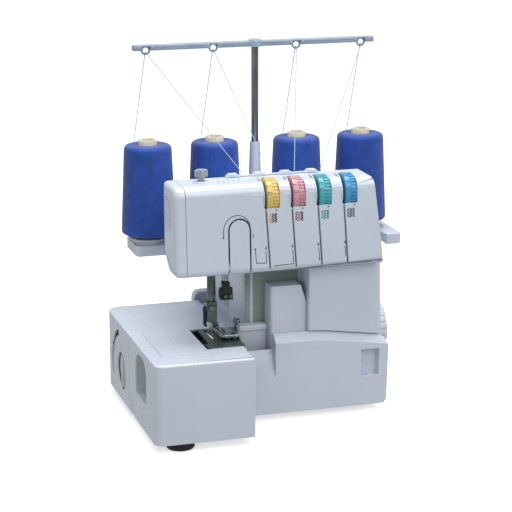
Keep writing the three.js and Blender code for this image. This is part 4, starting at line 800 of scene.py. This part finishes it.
merge(bar, lathe([(8 * MM, bar_bottom), (7.4 * MM, bar_top), (7 * MM, bar_hi.z - 0.5 * MM),
                  (6.4 * MM, bar_hi.z)], 48, Matrix.Translation((pole_at.x, pole_at.y, 0))))
piece("thread_tree_bar", bar, FINISH["bar_grey"], "thread_tree", 38, ["thread_bar"])
dots = bmesh.new()
for x in cone_xs:
    for side in (-1, 1):
        merge(dots, lathe([(1.4 * MM, -0.5 * MM), (1.4 * MM, 0.3 * MM), (0.9 * MM, 0.7 * MM),
                           (0.3 * MM, 0.8 * MM)], 24,
                          axis_place((x + side * 7.4 * MM, bar_front, bar_top - 3 * MM),
                                     (0, -1, 0))))
piece("thread_bar_dots", dots, FINISH["bar_grey"], "thread_tree", 38)

THREAD_R = 0.42 * MM
OFF_WIRE = 1.95 * MM  # a thread's middle from its eyelet's wire's middle
over_z = bar_bottom - EYE_R + OFF_WIRE


def strand(name, low, high, body, stands_for=()):
    """Two-ply thread from one point to another."""
    steps = max(8, round((high - low).length / (0.7 * MM)))
    line = [low.lerp(high, k / steps) for k in range(steps + 1)]
    bm = tube(line, THREAD_R, 8, ply=2, turns=(high - low).length / (3.2 * MM), depth=0.18)
    return piece(name, bm, FINISH["loose_thread"], body, 0, stands_for)


for i in range(1, 5):
    lo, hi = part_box(f"thread_{i}")
    cone_x = cone_xs[i - 1]
    left_start = cone_x - 14 * MM
    guide_x = hi.x if hi.x - cone_x > 2 * MM else lo.x
    guide = Vector((guide_x, lo.y + 0.4 * MM, lo.z + 0.4 * MM))
    cone_y = sum(c.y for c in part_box(f"thread_cone_{i}")) / 2
    start = Vector((left_start, cone_y + 7 * MM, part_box(f"thread_cone_{i}")[1].z - 4.5 * MM))
    behind = Vector((cone_x, pole_at.y + OFF_WIRE, over_z))
    in_front = Vector((cone_x, pole_at.y - OFF_WIRE, over_z))
    for part, low, high in (("rise", start, behind), ("run", guide, in_front)):
        thread = strand(f"thread_{i}_{part}", low, high, "machine",
                        [f"thread_{i}"] if part == "run" else ())
        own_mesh(thread)
    strand(f"thread_{i}_over", behind, in_front, "thread_tree")

# ---------------------------------------------------------------- handwheel
lo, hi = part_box("handwheel")
wheel_r = (hi.z - lo.z) / 2
wheel_mid = (lo + hi) / 2
wheel_half = (hi.x - lo.x) / 2
FLUTES = 26


def fluted(radius, height, angle):
    """Shallow grips round the rim's outer band."""
    if radius < wheel_r - 1.6 * MM or height < -wheel_half * 0.35:
        return radius
    return radius - 0.9 * MM * max(0.0, math.cos(FLUTES * angle)) ** 2


wheel = lathe([
    (9 * MM, -wheel_half),
    (wheel_r - 3.2 * MM, -wheel_half),
    (wheel_r - 1.4 * MM, -wheel_half + 0.8 * MM),
    (wheel_r - 0.6 * MM, -wheel_half + 3 * MM),
    (wheel_r - 0.6 * MM, -wheel_half * 0.42),
    (wheel_r - 1.5 * MM, -wheel_half * 0.38),
    (wheel_r - 1.5 * MM, -wheel_half * 0.30),
    (wheel_r, -wheel_half * 0.24),
    (wheel_r, wheel_half - 4 * MM),
    (wheel_r - 0.9 * MM, wheel_half - 1.8 * MM),
    (wheel_r - 3 * MM, wheel_half - 0.4 * MM),
    (wheel_r - 5 * MM, wheel_half),
    (wheel_r - 8 * MM, wheel_half - 0.8 * MM),
    (wheel_r - 9 * MM, wheel_half - 3 * MM),
    (8.5 * MM, wheel_half - 3 * MM),
    (7.5 * MM, wheel_half - 1 * MM),
    (2 * MM, wheel_half - 0.6 * MM),
], FLUTES * 8, axis_place(wheel_mid, (1, 0, 0)), fluted)
piece("handwheel_rim", wheel, FINISH["panel_white"], "drive", 30, ["handwheel"])

# ---------------------------------------------------------------- pressure screw
lo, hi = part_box("pressure_screw")
screw = (lo + hi) / 2
knob = lathe([(3.4 * MM, lo.z), (3.4 * MM, head_hi.z + 4 * MM), (3.0 * MM, head_hi.z + 5 * MM),
              (3.0 * MM, hi.z - 9 * MM), (4.6 * MM, hi.z - 8 * MM), (5.2 * MM, hi.z - 2 * MM),
              (4.4 * MM, hi.z - 0.4 * MM), (2 * MM, hi.z)], 40,
             Matrix.Translation((screw.x, screw.y, 0)))
for side in (-1, 1):
    ends = sorted([screw.x + side * 2.2 * MM, screw.x + side * 6.9 * MM])
    merge(knob, block((ends[0], screw.y - 2.6 * MM, hi.z - 8.2 * MM),
                      (ends[1], screw.y + 2.6 * MM, hi.z - 0.6 * MM), 1.6 * MM, 4))
piece("pressure_knob", knob, FINISH["screw_grey"], "pressure_screw", 50,
      ["pressure_screw"])
flange = lathe([(4.6 * MM, head_hi.z - 0.4 * MM), (8.4 * MM, head_hi.z - 0.4 * MM),
                (8.4 * MM, head_hi.z + 0.9 * MM), (7.6 * MM, head_hi.z + 1.6 * MM),
                (5.0 * MM, head_hi.z + 1.6 * MM), (4.6 * MM, head_hi.z + 1.2 * MM)], 48,
               Matrix.Translation((screw.x, screw.y, 0)), ring=True)
piece("pressure_flange", flange, FINISH["shell_white"], "machine", 38)

# ---------------------------------------------------------------- needles and their clamp
for side in ("left", "right"):
    lo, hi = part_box(f"needle_{side}")
    verts = [v.co for v in nodes[f"needle_{side}"].data.vertices]
    top_ring = [v for v in verts if v.z > hi.z - 1.2 * MM]
    tip_ring = [v for v in verts if v.z < lo.z + 0.8 * MM]
    top = sum(top_ring, Vector()) / len(top_ring)
    tip = sum(tip_ring, Vector()) / len(tip_ring)
    tip = tip + (tip - top).normalized() * 0.2 * MM
    length = (top - tip).length
    needle = lathe([(0.06 * MM, 0), (0.4 * MM, 2.6 * MM), (0.45 * MM, 4 * MM),
                    (0.45 * MM, length - 14 * MM), (0.62 * MM, length - 12.5 * MM),
                    (0.95 * MM, length - 11.5 * MM), (0.95 * MM, length)], 20,
                   axis_place(tip, top - tip))
    piece(f"needle_{side}_steel", needle, FINISH["steel"], "needle_carrier", 30,
          [f"needle_{side}"])
lo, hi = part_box("needle_clamp")
clamp_screws = bmesh.new()
for x in (lo.x + 3.4 * MM, hi.x - 3.4 * MM):
    merge(clamp_screws, lathe([(1.9 * MM, -1 * MM), (1.9 * MM, 1.3 * MM), (1.5 * MM, 1.8 * MM),
                               (1.0 * MM, 1.8 * MM), (0.9 * MM, 0.8 * MM)], 24,
                              axis_place((x, lo.y, (lo.z + hi.z) / 2 - 1 * MM), (0, -1, 0))))
piece("needle_set_screws", clamp_screws, screw_steel, "needle_carrier", 30)
collar = block((lo.x + 1.5 * MM, lo.y + 2 * MM, hi.z - 0.4 * MM),
               (hi.x - 3.2 * MM, hi.y - 2 * MM, hi.z + 6 * MM), 0.7 * MM)
merge(collar, block((lo.x - 1.6 * MM, lo.y + 3 * MM, lo.z + 3.5 * MM),
                    (lo.x + 0.4 * MM, hi.y - 4 * MM, hi.z - 2.5 * MM), 0.6 * MM))
piece("needle_clamp_collar", collar, FINISH["black_plastic"], "needle_carrier", 38)

# ---------------------------------------------------------------- presser details
lo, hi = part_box("presser_ankle")
hook = block((lo.x - 3.2 * MM, lo.y + 1.5 * MM, lo.z + 3 * MM),
             (lo.x - 0.2 * MM, lo.y + 5.5 * MM, hi.z - 9 * MM), 0.7 * MM)
merge(hook, block((lo.x - 3.2 * MM, lo.y - 2.6 * MM, lo.z + 3 * MM),
                  (lo.x - 0.6 * MM, lo.y + 2.5 * MM, lo.z + 5.4 * MM), 0.6 * MM))
ring = [Vector((lo.x - 1.8 * MM, lo.y + 3.5 * MM + 3.2 * MM * math.cos(a),
                hi.z - 8 * MM + 3.2 * MM * math.sin(a)))
        for a in [2 * math.pi * k / 28 for k in range(28)]]
merge(hook, tube(ring, 0.95 * MM, 12, closed=True))
piece("foot_release_hook", hook, FINISH["black_plastic"], "presser", 38)
ankle_screw = lathe([(3.0 * MM, -1 * MM), (3.0 * MM, 1.6 * MM), (2.4 * MM, 2.3 * MM),
                     (0.8 * MM, 2.4 * MM)], 32,
                    axis_place(((lo.x + hi.x) / 2, lo.y, hi.z - 6 * MM), (0, -1, 0)))
piece("ankle_screw", ankle_screw, screw_steel, "presser", 30)
bar_at = sum(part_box("presser_bar"), Vector()) / 2
sleeve = block((bar_at.x - 4.2 * MM, bar_at.y - 4 * MM, hi.z - 1 * MM),
               (bar_at.x + 4.0 * MM, bar_at.y + 2.6 * MM, head_lo.z + 3 * MM), 0.8 * MM)
piece("presser_bar_sleeve", sleeve, FINISH["dark_metal"], "presser", 38)

# The foot's sprung finger, toe and side guide, over its flat sole.
lo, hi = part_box("presser_foot")
shoe = block((lo.x + 7 * MM, lo.y + 0.6 * MM, lo.z + 1.4 * MM),
             (hi.x - 2 * MM, lo.y + 9 * MM, lo.z + 5.2 * MM), 1.5 * MM, 4)
arc = []
for k in range(17):
    t = k / 16
    arc.append(Vector((lo.x + (4 + 3.4 * t) * MM, lo.y + (22 - 16 * t) * MM,
                       lo.z + (5.0 + 4.6 * math.sin(math.pi * (0.15 + 0.75 * t))) * MM)))
merge(shoe, tube(arc, 1.15 * MM, 12))
merge(shoe, block((hi.x - 3.4 * MM, lo.y + 6 * MM, lo.z + 1.6 * MM),
                  (hi.x - 1.2 * MM, hi.y - 12 * MM, lo.z + 6.4 * MM), 0.8 * MM, 3))
piece("presser_foot_guides", shoe, FINISH["steel"], "foot", 38)
# Two tongues, one on each side of the needles' path.
tongues = bmesh.new()
for x0, x1 in ((lo.x + 5.2 * MM, lo.x + 10 * MM), (hi.x - 6.2 * MM, hi.x - 1.6 * MM)):
    rows = []
    for k in range(13):
        t = k / 12
        y = lo.y + (21 - 15 * t) * MM
        z = lo.z + (3.6 + 3.8 * math.sin(math.pi * (0.2 + 0.62 * t))) * MM
        rows.append([(x0, y, z), (x1, y, z), (x1, y, z + 1.5 * MM), (x0, y, z + 1.5 * MM)])
    merge(tongues, swept(rows))
piece("presser_foot_tongues", tongues, FINISH["dark_metal"], "foot", 38)

# ---------------------------------------------------------------- prints on the head
STROKE = 0.75 * MM
MARK_DIGIT = 4.0 * MM  # height of the digits by the threading lines
ARROW = 2.4 * MM
ARCH_AT = (-66.9 * MM, 211 * MM)  # middle of the line over the take-up tongue
ARCH_REACH = (14.6 * MM, 16 * MM)


def head_origin(u, v):
    """Where a print on the head's front is cast from."""
    return Vector((u, head_lo.y - RAY_START, v))


on_head = onto([head_tree, tongue_tree], head_origin, (0, 1, 0))
dial_xs = [sum(c.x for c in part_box(f"tension_dial_{i}")) / 2 for i in range(1, 5)]

# Three little stitch columns under each dial, one or all in the dial's colour.
icon_top = 226.6 * MM
ICON_COLUMN = {0: 0, 1: 1, 3: 2}  # which column is coloured; dial 3 has all three
for i, x in enumerate(dial_xs):
    for k in range(3):
        column = []
        for s in range(25):
            sway = 1.15 * MM * math.sin(s * (0.9 + 0.35 * k) + k)
            column.append((x + (k * 2.9 - 3.4) * MM + sway, icon_top - s * 0.4 * MM))
        strip = ribbon(column, STROKE)
        coloured = i == 2 or k == ICON_COLUMN.get(i)
        printed(f"stitch_icon_{i + 1}_{k + 1}", strip, on_head,
                ink_colours[i] if coloured else ink_grey, "machine")

arch = []
for s in range(0, 13):
    a = math.pi * (1 - s / 12)
    arch.append((ARCH_AT[0] + ARCH_REACH[0] * math.cos(a),
                 ARCH_AT[1] + ARCH_REACH[1] * math.sin(a)))
arch = [(-81.6 * MM, 205.5 * MM), *arch, (-52.3 * MM, 209 * MM)]
marks = ribbon(resampled(arch, 1.5 * MM), STROKE)
arrowhead(marks, (-81.7 * MM, 203.2 * MM), (0, -1), ARROW)
merge(marks, moved(lettering("3", MARK_DIGIT), -50.6 * MM, 204.6 * MM))
bracket = [(-48.3 * MM, 190.5 * MM), (-47.4 * MM, 176.5 * MM), (-36.6 * MM, 175.8 * MM),
           (-37.0 * MM, 187.6 * MM)]
ribbon(resampled(bracket, 1.5 * MM), STROKE, marks)
arrowhead(marks, (-48.5 * MM, 192.4 * MM), (-0.05, 1), 2.2 * MM)
merge(marks, moved(lettering("4", MARK_DIGIT), -37.3 * MM, 191 * MM))
elbow = [(-8.4 * MM, 188 * MM), (-7.5 * MM, 172.9 * MM), (-26.6 * MM, 172.5 * MM)]
ribbon(resampled(elbow, 1.5 * MM), STROKE, marks)
arrowhead(marks, (-28.8 * MM, 172.4 * MM), (-1, 0), ARROW)
merge(marks, moved(lettering("4", MARK_DIGIT), -8.8 * MM, 191.2 * MM))
for x, low in ((19.6 * MM, 174 * MM), (48.2 * MM, 175.4 * MM)):
    ribbon(resampled([(x, 188 * MM), (x + 1.0 * MM, low + 2 * MM)], 1.5 * MM), STROKE, marks)
    arrowhead(marks, (x + 1.1 * MM, low), (0.06, -1), ARROW)
    merge(marks, moved(lettering("4", MARK_DIGIT), x - 0.2 * MM, 191.2 * MM))
printed("threading_marks", marks, on_head, ink_grey, "machine")

pointers = bmesh.new()
for x in dial_xs:
    arrowhead(pointers, (x + 3.2 * MM, 231.2 * MM), (0, 1), 2.0 * MM)
printed("dial_pointers", pointers, on_head, ink_grey, "machine")

# A painted highlight: a pale strip printed along the faint ridge across the head above the dials'
# middles, where its crease catches the light, broken at each dial's slot.
ridge = bmesh.new()
edges_x = [-52 * MM, *[x + s * 10.2 * MM for x in dial_xs for s in (-1, 1)], 73 * MM]
for a, b in zip(edges_x[::2], edges_x[1::2]):
    if b - a > 1 * MM:
        ribbon(resampled([(a, 246.6 * MM), (b, 246.4 * MM)], 3 * MM), 1.1 * MM, ridge)
printed("head_ridge_highlight", ridge, on_head, ridge_highlight, "machine")

# Shade in the thread grooves, which lean from each dial's left to the head's lower edge.
GROOVE_TOP, GROOVE_FOOT, GROOVE_LEAN = 233.5 * MM, 165.6 * MM, 4 * MM
shades = bmesh.new()
for x in dial_xs:
    top = x - 7.9 * MM
    ribbon(resampled([(top, GROOVE_TOP), (top + GROOVE_LEAN, GROOVE_FOOT)], 2 * MM), 1.1 * MM,
           shades)
printed("groove_shades", shades, on_head, groove_shade, "machine")

# Ticks on the head's top, behind the take-up tongue.
on_top = onto([head_tree], lambda u, v: Vector((u, v, head_hi.z + RAY_START)), (0, 0, -1))
ticks = bmesh.new()
for k in range(5):
    x = -80 * MM + k * 5.4 * MM
    ribbon([(x, -70 * MM + k * 0.6 * MM), (x + 0.6 * MM, -58 * MM + k * 0.6 * MM)],
           0.6 * MM, ticks)
printed("top_ticks", ticks, on_top, ink_pale, "machine")

# ---------------------------------------------------------------- prints on the bed
bed_tree = tree_of("bed_casing")
on_left = onto([bed_tree], lambda u, v: Vector((bed_lo.x - RAY_START, u, v)), (1, 0, 0))
dial_lo, dial_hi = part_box("stitch_length_dial")
dial_mid = (dial_lo + dial_hi) / 2
scale = bmesh.new()
for k in range(9):
    a = math.radians(-100 + k * 25)
    r0, r1 = 23.6 * MM, 25.6 * MM
    ribbon([(dial_mid.y + r0 * math.sin(a), dial_mid.z + r0 * math.cos(a)),
            (dial_mid.y + r1 * math.sin(a), dial_mid.z + r1 * math.cos(a))], 0.5 * MM, scale)
printed("length_scale", scale, on_left, ink_grey, "machine")

# ---------------------------------------------------------------- rear and underside details
rear_lo, rear_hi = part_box("rear_cover")
SCREW_INSET = 12 * MM  # from the rear cover's edges
back_screws = bmesh.new()
for x in (rear_lo.x + SCREW_INSET, rear_hi.x - SCREW_INSET):
    for z in (rear_lo.z + SCREW_INSET, rear_hi.z - SCREW_INSET):
        merge(back_screws, lathe([(3.2 * MM, -1 * MM), (3.2 * MM, 0.6 * MM), (2.4 * MM, 1.4 * MM),
                                  (1.3 * MM, 1.5 * MM), (1.1 * MM, 0.6 * MM)], 28,
                                 axis_place((x, rear_hi.y, z), (0, 1, 0))))
piece("rear_screws", back_screws, screw_steel, "machine", 30)
inlet_lo, inlet_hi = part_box("power_inlet")
pins = bmesh.new()
for y in ((inlet_lo.y + inlet_hi.y) / 2 - 4 * MM, (inlet_lo.y + inlet_hi.y) / 2 + 4 * MM):
    merge(pins, lathe([(1.1 * MM, 0), (1.1 * MM, 8 * MM), (0.5 * MM, 9 * MM)], 20,
                      axis_place((inlet_lo.x + 1.5 * MM, y, (inlet_lo.z + inlet_hi.z) / 2),
                                 (1, 0, 0))))
piece("inlet_pins", pins, FINISH["steel"], "machine", 30)
